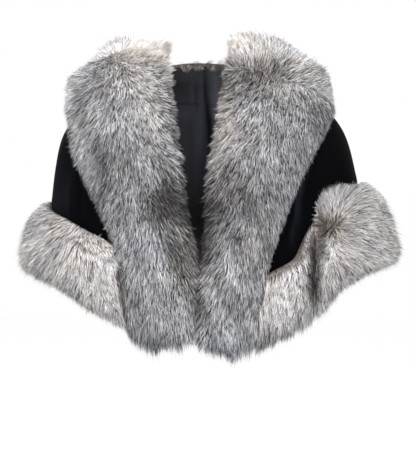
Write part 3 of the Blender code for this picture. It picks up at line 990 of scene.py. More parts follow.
    def clump_centres(self, tips: np.ndarray) -> np.ndarray:
        """The nearest clump's middle for each tip: one seeded point in each cube of clump size, searched in
        the 27 cubes round the tip."""
        size = self.coat.clump * 1.6
        cube = np.floor(tips / size).astype(np.int64)
        best = np.full(len(tips), np.inf)
        centre = tips.copy()
        offsets = np.stack(np.meshgrid(*[(-1, 0, 1)] * 3, indexing="ij"), axis=-1).reshape(-1, 3)
        for offset in offsets:
            near = cube + offset
            mixed = (near @ np.array((73856093, 19349663, 83492791))) & 0x7FFFFFFF
            jitter = np.stack([((mixed // k) % 1009) / 1009 for k in (1, 1013, 1021 * 7)], axis=-1)
            point = (near + jitter) * size
            away = np.sum((point - tips) ** 2, axis=1)
            closer = away < best
            best = np.where(closer, away, best)
            centre = np.where(closer[:, None], point, centre)
        return centre

    def tones(self, crown: np.ndarray) -> tuple[np.ndarray, np.ndarray, np.ndarray]:
        """Lightness, warmth and the extra share of dark hair, from the coat, soft noise and the patches,
        which hold painted light and shade as well as the hair's own tone.
        """
        coat = self.coat
        lightness = coat.lightness + 0.10 * soft_noise(crown, 0.06, coat.seed + 1)
        warmth = coat.warmth + 0.07 * soft_noise(crown, 0.08, coat.seed + 2)
        dark = np.zeros(len(crown))
        # Only hairs on the front take the patches, with their painted light and shade.
        ahead = smooth_step((0.03 - crown[:, 1]) / 0.05)
        for patch in self.patches:
            near = patch.bell(crown) * ahead
            lightness = lightness + patch.lightness * near
            warmth = warmth + patch.warmth * near
            dark = dark + patch.dark_hair * near
        return lightness, warmth, dark

    def pick_kinds(self, crown: np.ndarray, rng: Random) -> np.ndarray:
        """Picks each hair's kind by its coat's shares, with more black and brown in dark patches, those of
        painted shade among them.
        """
        coat = self.coat
        _, _, dark = self.tones(crown)
        tuft = 0.06 * soft_noise(crown, 0.011, coat.seed + 3)
        weights = np.stack(
            (
                coat.white - tuft - 0.5 * dark,
                np.full(len(crown), 1 - coat.white - coat.banded - coat.black - coat.brown),
                coat.banded - 0.5 * tuft,
                coat.black + tuft + 0.5 * dark,
                coat.brown + 0.3 * tuft + 0.5 * dark,
            ),
            axis=1,
        )
        weights = np.clip(weights, 0.01, None)
        chance = np.cumsum(weights / weights.sum(axis=1, keepdims=True), axis=1)
        return np.minimum((rng.random((len(crown), 1)) > chance).sum(axis=1), len(HAIR_KINDS) - 1)

    def pick_cells(self, crown: np.ndarray, kind: np.ndarray, rng: Random) -> np.ndarray:
        """Each hair's cell of the palette: its kind, and its lightness and warmth rounded to levels."""
        lightness, warmth, _ = self.tones(crown)
        lightness = lightness + rng.normal(0, 0.10, len(crown))

        def level(value: np.ndarray, levels: int) -> np.ndarray:
            """A value from 0 to 1 as a whole level, taken up or down by chance."""
            return np.clip(np.floor(value * (levels - 1) + rng.random(len(crown))), 0, levels - 1)

        light, warm = level(lightness, LIGHTNESS_LEVELS), level(warmth, WARMTH_LEVELS)
        return ((kind * LIGHTNESS_LEVELS + light) * WARMTH_LEVELS + warm).astype(int)

    def hair_mesh(self, hairs: dict[str, np.ndarray], part: np.ndarray, number: int) -> Piece:
        """Blades of one quad and a pointed end: pairs of points either side of the middle line, then its tip.

        Args:
            hairs: Fields of all the hairs.
            part: Which hairs go into this mesh.
            number: The mesh's number.

        Returns:
            The mesh object, with its colour attribute and its palette map.
        """
        line, way = hairs["line"][part], hairs["width_way"][part]
        half = 0.5 * hairs["width"][part][:, None, None] * KNOT_WIDTHS[None, :2, None]
        left = line[:, :2] - way[:, None] * half
        right = line[:, :2] + way[:, None] * half
        pairs = np.stack((left, right), axis=2).reshape(len(part), 4, 3)
        points = np.concatenate((pairs, line[:, 2:]), axis=1)
        blade = np.array((0, 1, 3, 2, 2, 3, 4))
        corners = (np.arange(len(part))[:, None] * 5 + blade).ravel()
        starts = (np.arange(len(part))[:, None] * 7 + np.array((0, 4))).ravel()
        sizes = np.tile((4, 3), len(part))
        name = self.label or f"{self.node}_hair_{number + 1}"
        piece = put_mesh(name, points.reshape(-1, 3), corners, starts, sizes)
        self.color_hair(piece, hairs["cell"][part], blade)
        piece.data.materials.append(self.finishes["hair"])
        return piece

    def color_hair(self, piece: Piece, cell: np.ndarray, blade: np.ndarray) -> None:
        """Colours each blade by its palette cell, and lays it in that cell of the palette map."""
        knots = np.array((0, 0, 1, 1, 2))
        colors = PALETTE[cell][:, knots]
        rgba = np.concatenate((colors, np.ones((*colors.shape[:2], 1))), axis=-1)
        attribute = piece.data.attributes.new(HairFinish.attribute, "FLOAT_COLOR", "POINT")
        attribute.data.foreach_set("color", rgba.astype(np.float32).ravel())
        side = np.array((0.0, 1.0, 0.0, 1.0, 0.5))
        pad = 0.1
        u = (cell[:, None] % PALETTE_COLUMNS + mix(pad, 1 - pad, side)) / PALETTE_COLUMNS
        v = (cell[:, None] // PALETTE_COLUMNS + mix(pad, 1 - pad, KNOTS[knots])) / PALETTE_ROWS
        places = np.stack((u, v), axis=-1)[:, blade]
        layer = piece.data.uv_layers.new(name="OFBake")
        layer.data.foreach_set("uv", places.astype(np.float32).ravel())


def make_palette() -> np.ndarray:
    """The palette's colours, cell by knot: a kind's colours times its lightness and its warmth."""
    kinds = np.array([kind.colors for kind in HAIR_KINDS])
    light = np.linspace(DARKEST, LIGHTEST, LIGHTNESS_LEVELS)
    warm = mix(COOLEST, WARMEST, np.linspace(0, 1, WARMTH_LEVELS)[:, None])
    colors = kinds[:, None, None] * light[None, :, None, None, None] * warm[None, None, :, None, :]
    return np.clip(colors.reshape(-1, len(KNOTS), 3), 0, 0.95)


PALETTE = make_palette()
PALETTE_COLUMNS = 25
PALETTE_ROWS = len(PALETTE) // PALETTE_COLUMNS


@dataclass(frozen=True)
class PileShape:
    """Where a pile stands: its outline, its place function and its reach beyond both edges."""

    side: Side
    place: Callable[..., AngleAndDrop]
    outline: tuple[PileRow, ...]
    height: Callable[..., np.ndarray]
    reach: Callable[..., tuple[np.ndarray, ...]]

    def fields(self, stations: np.ndarray, turns: int) -> tuple[np.ndarray, ...]:
        """Roots and crowns of the pile.

        A root lies on the hide at the outline's share. Its crown is moved out along the normal by the pile's
        height, and beyond the edge, in the hide's own plane, by the outline's out.

        Args:
            stations: Stations along the piece.
            turns: How many points go round the outline.

        Returns:
            Roots, crowns, directions along and across the hide, stations and shares, on one grid.
        """
        turn = np.linspace(0, 1, turns)
        index = turn * (len(self.outline) - 1)
        share, out, rise = (ease_through(column(self.outline, n), index) for n in ("share", "out", "height"))
        share = np.clip(share, 0, 1)
        station_grid, share_grid = np.meshgrid(stations, share, indexing="ij")
        base, normal, _ = FORM.cloth(self.side, *self.place(self.side, station_grid, share_grid))

        def line_at(one_share: float) -> tuple[np.ndarray, ...]:
            """The hide's points, normals and downward directions along one share."""
            return FORM.cloth(self.side, *self.place(self.side, stations, np.full_like(stations, one_share)))

        ways = []
        for edge, inside in ((0.0, EDGE_SHARE), (1.0, 1 - EDGE_SHARE)):
            point, edge_normal, _ = line_at(edge)
            way = point - line_at(inside)[0]
            ways.append(unit(way - edge_normal * dot(way, edge_normal))[:, None])
        inner_reach, outer_reach = (np.asarray(r)[:, None, None] for r in self.reach(stations))
        lean = ways[0] * np.clip(-out, 0, None)[None, :, None] * inner_reach
        lean = lean + ways[1] * np.clip(out, 0, None)[None, :, None] * outer_reach
        crown = base + normal * (rise[None, :] * self.height(station_grid, share_grid))[..., None] + lean
        along = self.slope(station_grid, share_grid, 0.05, 0.0)
        across = self.slope(station_grid, share_grid, 0.0, 0.01)
        return base, crown, along, across, station_grid, share_grid

    def slope(self, station: np.ndarray, share: np.ndarray, along: float, across: float) -> np.ndarray:
        """The hide's direction over a small step either way along the stations or across the shares."""
        after = self.place(self.side, station + along, share + across)
        before = self.place(self.side, station - along, share - across)
        return unit(FORM.surface(self.side, *after) - FORM.surface(self.side, *before))


class Collar:
    """One half of the shawl collar, from the front hem round to the centre back."""

    CUT = (0.24, 0.98)
    HIDE_STATIONS, HIDE_SHARES = 73, 15
    STATIONS_PER_STEP = 12
    TURNS = 49
    END_ROWS = 12
    END_FALLS = {Side.RIGHT: (0.040, 0.053), Side.LEFT: (0.029, 0.054)}
    END_BULGE = 0.013
    INNER_REACH = {
        Side.RIGHT: (0.022, 0.022, 0.021, 0.003, 0.004, 0.006, 0.007, 0.013, 0.003, 0.001),
        Side.LEFT: (0.012, 0.012, 0.007, -0.002, 0.0, 0.005, 0.009, 0.018, 0.003, 0.001),
    }
    OUTER_REACH = {
        Side.RIGHT: (0.003, 0.0, 0.003, 0.015, 0.020, 0.002, 0.004, 0.008, 0.010, 0.010),
        Side.LEFT: (0.0, 0.0, 0.0, 0.0, 0.006, 0.002, 0.002, 0.006, 0.010, 0.010),
    }
    LIES = {
        Side.RIGHT: (
            Lie(1.0, -0.10, 0.12, 0.03),
            Lie(1.0, -0.20, 0.25, 0.05),
            Lie(1.0, -0.50, 0.45, 0.08),
            Lie(1.0, -0.70, 0.70, 0.10),
            Lie(1.0, -0.50, 0.85, 0.10),
            Lie(0.85, -0.50, 1.00, 0.12),
            Lie(0.35, -0.60, 1.00, 0.20),
            Lie(-0.30, -0.50, 1.00, 0.20),
            Lie(0.0, 0.20, 1.00, 0.40),
            Lie(0.0, 0.20, 1.00, 0.50),
        ),
        Side.LEFT: (
            Lie(1.0, -0.10, 0.12, 0.03),
            Lie(1.0, -0.25, 0.25, 0.05),
            Lie(1.0, -0.50, 0.35, 0.08),
            Lie(1.0, -0.55, 0.45, 0.10),
            Lie(1.0, -0.35, 0.50, 0.12),
            Lie(1.0, -0.25, 0.50, 0.15),
            Lie(-0.45, -0.50, 1.00, 0.30),
            Lie(-0.35, -0.50, 1.00, 0.25),
            Lie(0.0, 0.20, 1.00, 0.40),
            Lie(0.0, 0.20, 1.00, 0.50),
        ),
    }

    def __init__(self, side: Side, coat: Coat, patches: tuple[Patch, ...], finishes: Finishes) -> None:
        """Settles the side, coat and tone patches."""
        self.side, self.coat, self.patches, self.finishes = side, coat, patches, finishes
        self.scale = LEFT_PILE if side is Side.LEFT else 1.0

    def height(self, station: np.ndarray, share: np.ndarray) -> np.ndarray:
        """The pile's depth: low at the neckline, full past NECK_RISE_WIDTH, less in the furrows."""
        rise = mix(station_value("neck_rise", station), 1, smooth_step(share / NECK_RISE_WIDTH))
        depth = station_value("pile", station) * self.scale
        return depth * rise * FORM.furrow_share(self.side, station, share)

    def reach(self, stations: np.ndarray) -> tuple[np.ndarray, ...]:
        """How far the pile reaches past the inner and the outer edge."""
        inner, outer = self.INNER_REACH[self.side], self.OUTER_REACH[self.side]
        return ease_through(inner, stations), ease_through(outer, stations)

    def pile_grid(self) -> PileGrid:
        """The pile from the centre back to the hem, and its rounded lower end, which closes as it falls."""
        stations = np.linspace(0, LAST_STATION, LAST_STATION * self.STATIONS_PER_STEP + 1)
        shape = PileShape(self.side, FORM.collar_place, COLLAR_PILE, self.height, self.reach)
        root, crown, along, across, station, share = shape.fields(stations, self.TURNS)
        fall = np.linspace(0.98, 0, self.END_ROWS, endpoint=False)[:, None, None]
        kept = np.sqrt(np.clip(1 - fall**3, 0, 1))
        _, _, down = FORM.cloth(self.side, *FORM.collar_place(self.side, 0.0, 0.5))
        middle = 0.5 * (crown[0].mean(axis=0) + root[0].mean(axis=0))
        length = mix(*self.END_FALLS[self.side], share[:1, :, None])
        length = length + self.END_BULGE * np.sin(np.pi * np.clip(share[:1, :, None], 0, 1))
        end_crown = middle + down * fall * length + (crown[0] - middle) * kept
        end_root = root[0].mean(axis=0) + (root[0] - root[0].mean(axis=0)) * (0.35 + 0.65 * kept)
        root, crown = np.concatenate((end_root, root)), np.concatenate((end_crown, crown))

        def with_end(values: np.ndarray) -> np.ndarray:
            """The values with their first row repeated over the lower end."""
            return np.concatenate((np.repeat(values[:1], self.END_ROWS, axis=0), values))

        along, across, station, share = (with_end(values) for values in (along, across, station, share))
        lie, stand = self.lies(along, across, station, share)
        behind = smooth_step(station - 7)
        tufts = np.clip(0.25 + 0.40 * soft_noise(crown, 0.014, 12), 0.02, 0.8)
        rims = tufts * (1 - smooth_step(share / 0.15)) + 0.20 * smooth_step((share - 0.88) / 0.12)
        anchor = 1 - behind * (1 - smooth_step(share / 0.4)) - (1 - behind) * rims
        weight = 1 - 0.4 * behind
        return PileGrid(root, crown, lie, stand, anchor, weight)

    def lies(
        self, hide_along: np.ndarray, hide_across: np.ndarray, station: np.ndarray, share: np.ndarray
    ) -> tuple[np.ndarray, ...]:
        """The lie, towards the hem along the hide plus across it by the table, and how upright it is. Over
        the open front, the inner rim's hair leans further out."""
        rows = self.LIES[self.side]
        place = station
        if self.side is Side.LEFT:
            parting = smooth_step((station - 5.28) / 0.6)
            place = np.where((station > 5) & (station < 6), 5 + parting, station)
        names = ("along", "inner", "outer", "stand")
        along, inner, outer, stand = (ease_through(column(rows, name), place) for name in names)
        rim = (1 - smooth_step(share / 0.14)) * smooth_step(station - 2) * (1 - smooth_step(station - 6.8))
        across = mix(inner, outer, share) - 0.32 * rim
        return hide_across * across[..., None] - hide_along * along[..., None], stand

    def build(self) -> Pelt:
        """Builds the half collar and logs it."""
        stations = np.linspace(0, LAST_STATION, self.HIDE_STATIONS)
        hide = lay_grid(self.side, FORM.collar_place, stations, np.linspace(0, 1, self.HIDE_SHARES))
        node = self.side.named("collar")
        pelt = Pelt(
            node, self.pile_grid(), hide, self.coat, self.patches, self.finishes,
            slot="grey_fur", undercoat="grey_undercoat",
            rests_on=(self.side.named("front"), "back"), cut=self.CUT, split=2,
        )
        pelt.build()
        return pelt


class Border:
    """The fur hem border: over one arm, or across the back in one piece."""

    TURNS = 45
    PILE_ROWS_PER_STATION, HIDE_ROWS_PER_STATION, HIDE_SHARES = 14, 8, 9
    SPREAD_X = 0.215
    PARTING = {Side.RIGHT: (-0.192, -0.268, -0.262), Side.LEFT: (0.222, -0.335, -0.306)}
    TOP_ANCHOR = {Side.RIGHT: 0.65, Side.LEFT: 0.40}
    FALL_PLACES = (2.0, 3.5, 4.0, 4.5, 5.0, 6.0, 7.0)
    FALLS = {
        Side.RIGHT: (1.02, 0.90, 0.68, 0.72, 0.90, 1.10, 1.0),
        Side.LEFT: (1.72, 1.68, 1.35, 0.66, 0.48, 1.00, 1.0),
    }
    TOP_PLACES = (2.0, 2.8, 4.18, 4.30, 4.70, 5.2, 6.0, 7.0)
    TOPS = {
        Side.RIGHT: (0.0, 0.012, 0.015, 0.015, 0.013, 0.014, 0.016, 0.007),
        Side.LEFT: (0.0, 0.001, 0.001, 0.021, 0.020, 0.013, 0.009, 0.007),
    }
    BULK_PLACES = (4.5, 5.4, 6.2, 7.0)
    BULKS = {Side.RIGHT: (1.0, 0.95, 0.93, 1.0), Side.LEFT: (1.0, 0.92, 0.90, 1.0)}
    GAP_STATION, GAP_SLOPE, GAP_DEPTH = 4.27, -0.45, 0.88
    GAP_BEFORE, GAP_AFTER = 0.17, 0.07

    def __init__(
        self, node: str, first: float, last: float, sides: tuple[Side, ...], coat: Coat,
        patches: tuple[Patch, ...], finishes: Finishes, cut: Cut,
    ) -> None:
        """Settles the stretch, the sides it covers, its coat and its cut."""
        self.node, self.first, self.last, self.sides = node, first, last, sides
        self.coat, self.patches, self.finishes, self.cut = coat, patches, finishes, cut

    def half(self, side: Side) -> list[np.ndarray]:
        """Roots, crowns, directions, stations and shares of one side's stretch."""
        scale = LEFT_PILE if side is Side.LEFT else 1.0

        def height(station: np.ndarray, share: np.ndarray) -> np.ndarray:
            """The pile's depth, thinned in the folds."""
            kept = FORM.fold_shift(side, *FORM.border_place(side, station, share))[2]
            if side is Side.LEFT:
                kept = kept * (1 - self.GAP_DEPTH * np.exp(-(self.past_gap(station, share, True) ** 2)))
            bulk = np.interp(station, self.BULK_PLACES, self.BULKS[side])
            return station_value("border_pile", station) * scale * kept * bulk

        def reach(stations: np.ndarray) -> tuple[np.ndarray, ...]:
            """How far the pile stands past the seam, and how far it falls past the hem."""
            above = np.interp(stations, self.TOP_PLACES, self.TOPS[side])
            return above, HEM_FALL * np.interp(stations, self.FALL_PLACES, self.FALLS[side])

        rows = int((self.last - self.first) * self.PILE_ROWS_PER_STATION) + 1
        shape = PileShape(side, FORM.border_place, BORDER_PILE, height, reach)
        return list(shape.fields(np.linspace(self.first, self.last, rows), self.TURNS))

    def pile_grid(self) -> PileGrid:
        """The pile, with both sides joined at the centre back where it crosses it."""
        halves = [self.half(side) for side in self.sides]
        joined = halves[0]
        if len(halves) == 2:
            joined = [np.concatenate((right, left[-2::-1])) for right, left in zip(*halves)]
        root, crown, _, down, station, share = joined
        lie, upright = self.lies(crown, down, station, share)
        stand = mix(0.08, 0.50, upright)
        up = smooth_step(0.3 - 1.5 * dot(unit(lie), down)[..., 0])
        top = self.TOP_ANCHOR[self.sides[0]] * up
        anchor = mix(top, 1.0, smooth_step((share - 0.05) / 0.45))
        return PileGrid(root, crown, lie, stand, anchor, np.ones(station.shape))

    def past_gap(self, station: np.ndarray, share: np.ndarray, scaled: bool = False) -> np.ndarray:
        """How far a place is past the deep fold's line, in stations or in the fold's own half widths."""
        past = station - self.GAP_STATION - self.GAP_SLOPE * share
        return past / np.where(past < 0, self.GAP_BEFORE, self.GAP_AFTER) if scaled else past

    def lies(
        self, crown: np.ndarray, down: np.ndarray, station: np.ndarray, share: np.ndarray
    ) -> tuple[np.ndarray, ...]:
        """The lie: down and a little outwards, and over the arm away from the side's short upright parting.

        Returns:
            The lie, and how far the hair stands up round the parting, 0 to 1.
        """
        sideways = np.zeros_like(crown)
        middle = np.sign(crown[..., 0]) * self.SPREAD_X
        sideways[..., 0] = np.clip((crown[..., 0] - middle) / 0.09, -0.45, 0.9)
        sideways[..., 0] *= smooth_step((0.06 - crown[..., 1]) / 0.08)
        lie = down + 0.75 * sideways
        if len(self.sides) == 2:
            return lie, np.zeros(station.shape)
        side = self.sides[0]
        x, low, high = self.PARTING[side]
        x = x + 0.004 * soft_noise(crown, 0.08, 5)
        beyond = crown[..., 2] - np.clip(crown[..., 2], low, high)
        away = np.stack((crown[..., 0] - x, 0 * crown[..., 1], beyond), -1)
        outer = smooth_step(0.2 + side.value * away[..., :1] / 0.05)
        spread = smooth_step(np.linalg.norm(away, axis=-1, keepdims=True) / 0.045)
        radial = unit(away) * spread + mix(0.15, 0.65, outer) * down
        share_radial = 1 - smooth_step(station - 5.0)
        if side is Side.LEFT:
            over_arm = smooth_step(self.past_gap(station, share) / 0.08 + 0.5)
            share_radial = share_radial * over_arm
            lie = mix(down, lie, over_arm[..., None])
        lie = mix(unit(lie), radial, share_radial[..., None])
        gone = np.linalg.norm(lie, axis=-1) / 0.45
        return lie, share_radial * np.exp(-(gone**2))

    def build(self) -> Pelt:
        """Builds the border and logs it."""
        rows = int((self.last - self.first) * self.HIDE_ROWS_PER_STATION) + 1
        stations, shares = np.linspace(self.first, self.last, rows), np.linspace(0, 1, self.HIDE_SHARES)
        halves = [lay_grid(side, FORM.border_place, stations, shares) for side in self.sides]
        hide = both_halves(*halves) if len(halves) == 2 else halves[0]
        above = "back" if len(halves) == 2 else self.sides[0].named("front")
        pelt = Pelt(
            self.node, self.pile_grid(), hide, self.coat, self.patches, self.finishes,
            slot="pale_fur", undercoat="pale_undercoat", rests_on=(above,), cut=self.cut,
        )
        pelt.build()
        return pelt


@dataclass(frozen=True)
class Crease:
    """A soft trough, or a ridge where depth is below 0, in a panel's own stations and shares."""

    station: float
    share: float
    half_station: float
    half_share: float
    lean: float
    depth: float

    def shift(self, grid: SheetGrid) -> np.ndarray:
        """A bell across the leaning line, which fades out along it."""
        down = (grid.share - self.share) / self.half_share
        across = (grid.station - self.station - self.lean * (grid.share - self.share)) / self.half_station
        return -self.depth * np.exp(-(across**2) - down**2)


def creased(grid: SheetGrid, creases: tuple[Crease, ...]) -> SheetGrid:
    """The grid moved in and out by its creases, held at its rims, with its normals worked out again."""
    hold = smooth_step(np.minimum(grid.share, 1 - grid.share) / 0.10)
    out = sum((crease.shift(grid) for crease in creases), np.zeros(grid.station.shape)) * hold
    moved = grid.moved(out)
    normals = unit(np.cross(np.gradient(moved.points, axis=0), np.gradient(moved.points, axis=1)))
    facing = np.sign(dot(normals, grid.normals).mean())
    normals = unit(np.where(dot(normals * facing, grid.normals) > 0.3, normals * facing, grid.normals))
    return SheetGrid(moved.points, normals, grid.station, grid.share)


VELVET_CREASES = {
    "front_right": (
        Crease(6.0, 0.40, 1.1, 0.50, 0.0, -0.0065),
        Crease(4.7, 0.55, 0.22, 0.40, 0.5, 0.0040),
        Crease(5.15, 0.45, 0.20, 0.45, 0.4, -0.0035),
        Crease(3.9, 0.60, 0.18, 0.25, -0.3, 0.0025),
    ),
    "front_left": (
        Crease(6.0, 0.40, 1.1, 0.50, 0.0, -0.0055),
        Crease(3.42, 0.40, 0.15, 0.35, -1.1, -0.0060),
        Crease(3.80, 0.50, 0.20, 0.40, -0.9, 0.0050),
        Crease(4.75, 0.60, 0.25, 0.30, 0.4, 0.0030),
    ),
    "back": (
        Crease(6.0, 0.40, 1.1, 0.50, 0.0, -0.0055),
        Crease(7.05, 0.75, 0.18, 0.35, 0.3, -0.0050),
        Crease(7.60, 0.70, 0.20, 0.50, 0.2, -0.0070),
        Crease(8.25, 0.80, 0.16, 0.35, -0.2, -0.0045),
        Crease(8.80, 0.65, 0.16, 0.50, 0.1, -0.0060),
    ),
}


# Painted light on the front velvet, as tone patches: the lighter ridges and the lighter outer side are
# painted sheen, and the darker patches are painted shade.
VELVET_PAINTED_SHEEN_AND_SHADE = {
    "front_right": (
        Patch(-0.255, -0.240, 0.045, 0.080, 0.13),
        Patch(-0.195, -0.290, 0.020, 0.100, -0.30),
        Patch(-0.222, -0.270, 0.004, 0.040, 0.10),
    ),
    "front_left": (
        Patch(0.183, -0.185, 0.005, 0.020, 0.45),
        Patch(0.1725, -0.218, 0.005, 0.022, 0.55),
        Patch(0.167, -0.262, 0.006, 0.025, 0.36),
        Patch(0.157, -0.305, 0.008, 0.025, 0.22),
        Patch(0.250, -0.210, 0.025, 0.060, -0.25),
        Patch(0.150, -0.250, 0.008, 0.080, -0.25),
    ),
}


class VelvetPanel:
    """A velvet panel between the collar and the border."""

    ROWS_PER_STATION = 14
    SHARES = (0.004, 0.996, 41)
    POINT_BACK = 0.02

    def __init__(
        self, node: str, first: float, last: float, sides: tuple[Side, ...], finishes: Finishes, cut: Cut
    ) -> None:
        """Settles the stretch, the sides it covers, its finish and its cut."""
        self.node, self.first, self.last, self.sides = node, first, last, sides
        self.finishes, self.cut = finishes, cut

    def build(self) -> Piece:
        """Builds the panel as a thin closed wall."""
        rows = int((self.last - self.first) * self.ROWS_PER_STATION) + 1
        stations, shares = np.linspace(self.first, self.last, rows), np.linspace(*self.SHARES)
        stations[0] = self.first + (self.POINT_BACK if self.first == SEAM_STATION else 0.0)
        halves = [lay_grid(side, FORM.shell_place, stations, shares) for side in self.sides]
        grid = both_halves(*halves) if len(halves) == 2 else halves[0]
        grid = creased(grid, VELVET_CREASES[self.node])
        # The front panels carry painted sheen ridges and painted shade in their tone.
        piece = thin_shell(f"{self.node}_velvet", grid, SHELL_WALL, VELVET_PAINTED_SHEEN_AND_SHADE.get(self.node, ()))
        piece.data.materials.append(self.finishes["velvet"])
        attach(piece, BODY)
        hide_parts(self.node)
        return piece


LINING_CREASES = (
    Crease(8.62, 0.30, 0.05, 0.10, 0.25, 0.0016),
    Crease(8.30, 0.42, 0.09, 0.22, 0.15, 0.0035),
    Crease(7.90, 0.55, 0.12, 0.30, -0.10, 0.0025),
    Crease(7.35, 0.50, 0.14, 0.32, 0.20, 0.0045),
    Crease(6.80, 0.60, 0.12, 0.25, 0.0, 0.0030),
)


class BackLining:
    """The satin lining of the back: a yoke under the neckline, two halves below it and a centre pleat."""

    COLUMNS = 63
    GATHER = 1.5
    YOKE_ROWS = 16
    LEVELS = ((31, 0, 5, 1.0), (22, 5, 12, 1.0), (13, 12, 18, 0.75))
    LAST_LEVEL = 18
    PLEAT_START = 8.75
    PLEAT_LIFT, PLEAT_LAP = 0.008, 0.003
    PLEAT_UNDER, PLEAT_OVER = 0.0005, 0.0050
    YOKE_LAP = 0.0016
    LIFT_START, LIFT_LENGTH = 0.12, 0.50
    # Painted light on the lining, as tone patches: dark lines of painted shadow down the pleat's free edge
    # and its gap, lighter bands of painted highlight on the folds and under the yoke, and painted shade at
    # the top corner and low down.
    TONES = (
        Patch(-0.0005, -0.039, 0.0020, 0.036, -0.50),
        Patch(0.0030, -0.082, 0.0022, 0.022, -0.50),
        Patch(0.0066, -0.112, 0.0042, 0.026, -0.80),
        Patch(0.0050, -0.180, 0.0030, 0.050, -0.30),
        Patch(-0.053, -0.026, 0.020, 0.022, -0.34),
        Patch(-0.0250, -0.050, 0.0040, 0.020, 0.16),
        Patch(-0.0170, -0.050, 0.0030, 0.020, -0.12),
        Patch(-0.0080, -0.055, 0.0050, 0.050, 0.14),
        Patch(0.0190, -0.045, 0.0110, 0.050, 0.50),
        Patch(0.0200, -0.110, 0.0100, 0.050, 0.22),
        Patch(-0.0240, -0.135, 0.0260, 0.060, 0.12),
        Patch(-0.0400, -0.085, 0.0200, 0.012, 0.16),
        Patch(-0.0280, -0.140, 0.0050, 0.050, -0.14),
        Patch(-0.0120, -0.130, 0.0050, 0.060, 0.10),
        Patch(0.0, -0.285, 0.080, 0.090, -0.48),
    )

    def __init__(self, finishes: Finishes) -> None:
        """Settles the finishes."""
        self.finishes = finishes

    def half(self, side: Side, stations: np.ndarray) -> SheetGrid:
        """One side from the neckline to near the hem. Its share is its level's part of the last level."""
        places = (FORM.collar_place, FORM.shell_place, FORM.border_place)
        blocks = []
        for place, (count, first, last, reach) in zip(places, self.LEVELS):
            grid = lay_grid(side, place, stations, np.linspace(0, reach, count))
            levels = np.broadcast_to(np.linspace(first, last, count) / self.LAST_LEVEL, grid.share.shape)
            block = SheetGrid(grid.points, grid.normals, grid.station, levels)
            blocks.append(self.rows(block, slice(1 if blocks else 0, None)))
        joined = {
            f.name: np.concatenate([getattr(b, f.name) for b in blocks], axis=1) for f in fields(SheetGrid)
        }
        return SheetGrid(**joined)

    @staticmethod
    def rows(grid: SheetGrid, part: slice) -> SheetGrid:
        """The grid's part between two shares."""
        return SheetGrid(**{f.name: getattr(grid, f.name)[:, part] for f in fields(SheetGrid)})

    def pleat(self) -> SheetGrid:
        """The pleat from its fold to its free edge, which stands off by lift sin2 down the back and laps
        over the middle."""
        grid = self.half(Side.RIGHT, np.linspace(self.PLEAT_START, LAST_STATION, 13))
        across = (grid.station - self.PLEAT_START) / (LAST_STATION - self.PLEAT_START)
        down = np.clip((grid.share - self.LIFT_START) / self.LIFT_LENGTH, 0, 1)
        lift = self.PLEAT_LIFT * np.sin(np.pi * down) ** 2 * across**2
        laid = grid.moved(-(LINING_DEPTH + mix(-self.PLEAT_UNDER, self.PLEAT_OVER, across**1.3) + lift))
        lap = np.zeros_like(laid.points)
        lap[..., 0] = self.PLEAT_LAP * across
        return SheetGrid(laid.points + lap, laid.normals, laid.station, laid.share)

    def build(self) -> list[Piece]:
        """Builds yoke, halves and pleat."""
        spaced = np.linspace(1, 0, self.COLUMNS) ** self.GATHER
        stations = LAST_STATION - (LAST_STATION - SHOULDER_STATION) * spaced
        right, left = (self.half(side, stations).moved(-LINING_DEPTH) for side in (Side.RIGHT, Side.LEFT))
        above, below = slice(0, self.YOKE_ROWS + 1), slice(self.YOKE_ROWS - 1, None)
        yoke = both_halves(self.rows(right, above), self.rows(left, above))
        yoke = yoke.moved(-self.YOKE_LAP * yoke.share / yoke.share.max())
        plans = (
            ("lining_yoke", yoke, (), (0.36, 0.14)),
            ("lining_right", self.rows(right, below), LINING_CREASES[2:], (0.38, 0.34)),
            ("lining_left", self.rows(left, below), LINING_CREASES, (0.38, 0.34)),
            ("lining_pleat", self.pleat(), (), (0.06, 0.38)),
        )
        pieces = []
        for node, grid, creases, cut in plans:
            laid = creased(grid, creases) if creases else grid
            # Every lining piece carries the painted shade and highlights in its tone.
            piece = thin_shell(f"{node}_satin", laid, LINING_WALL, self.TONES)
            pieces.append(self.dress(piece, node))
        return pieces

    def dress(self, piece: Piece, node: str) -> Piece:
        """Gives a lining piece its satin."""
        piece.data.materials.append(self.finishes["satin"])
        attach(piece, BODY)
        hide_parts(node)
        return piece


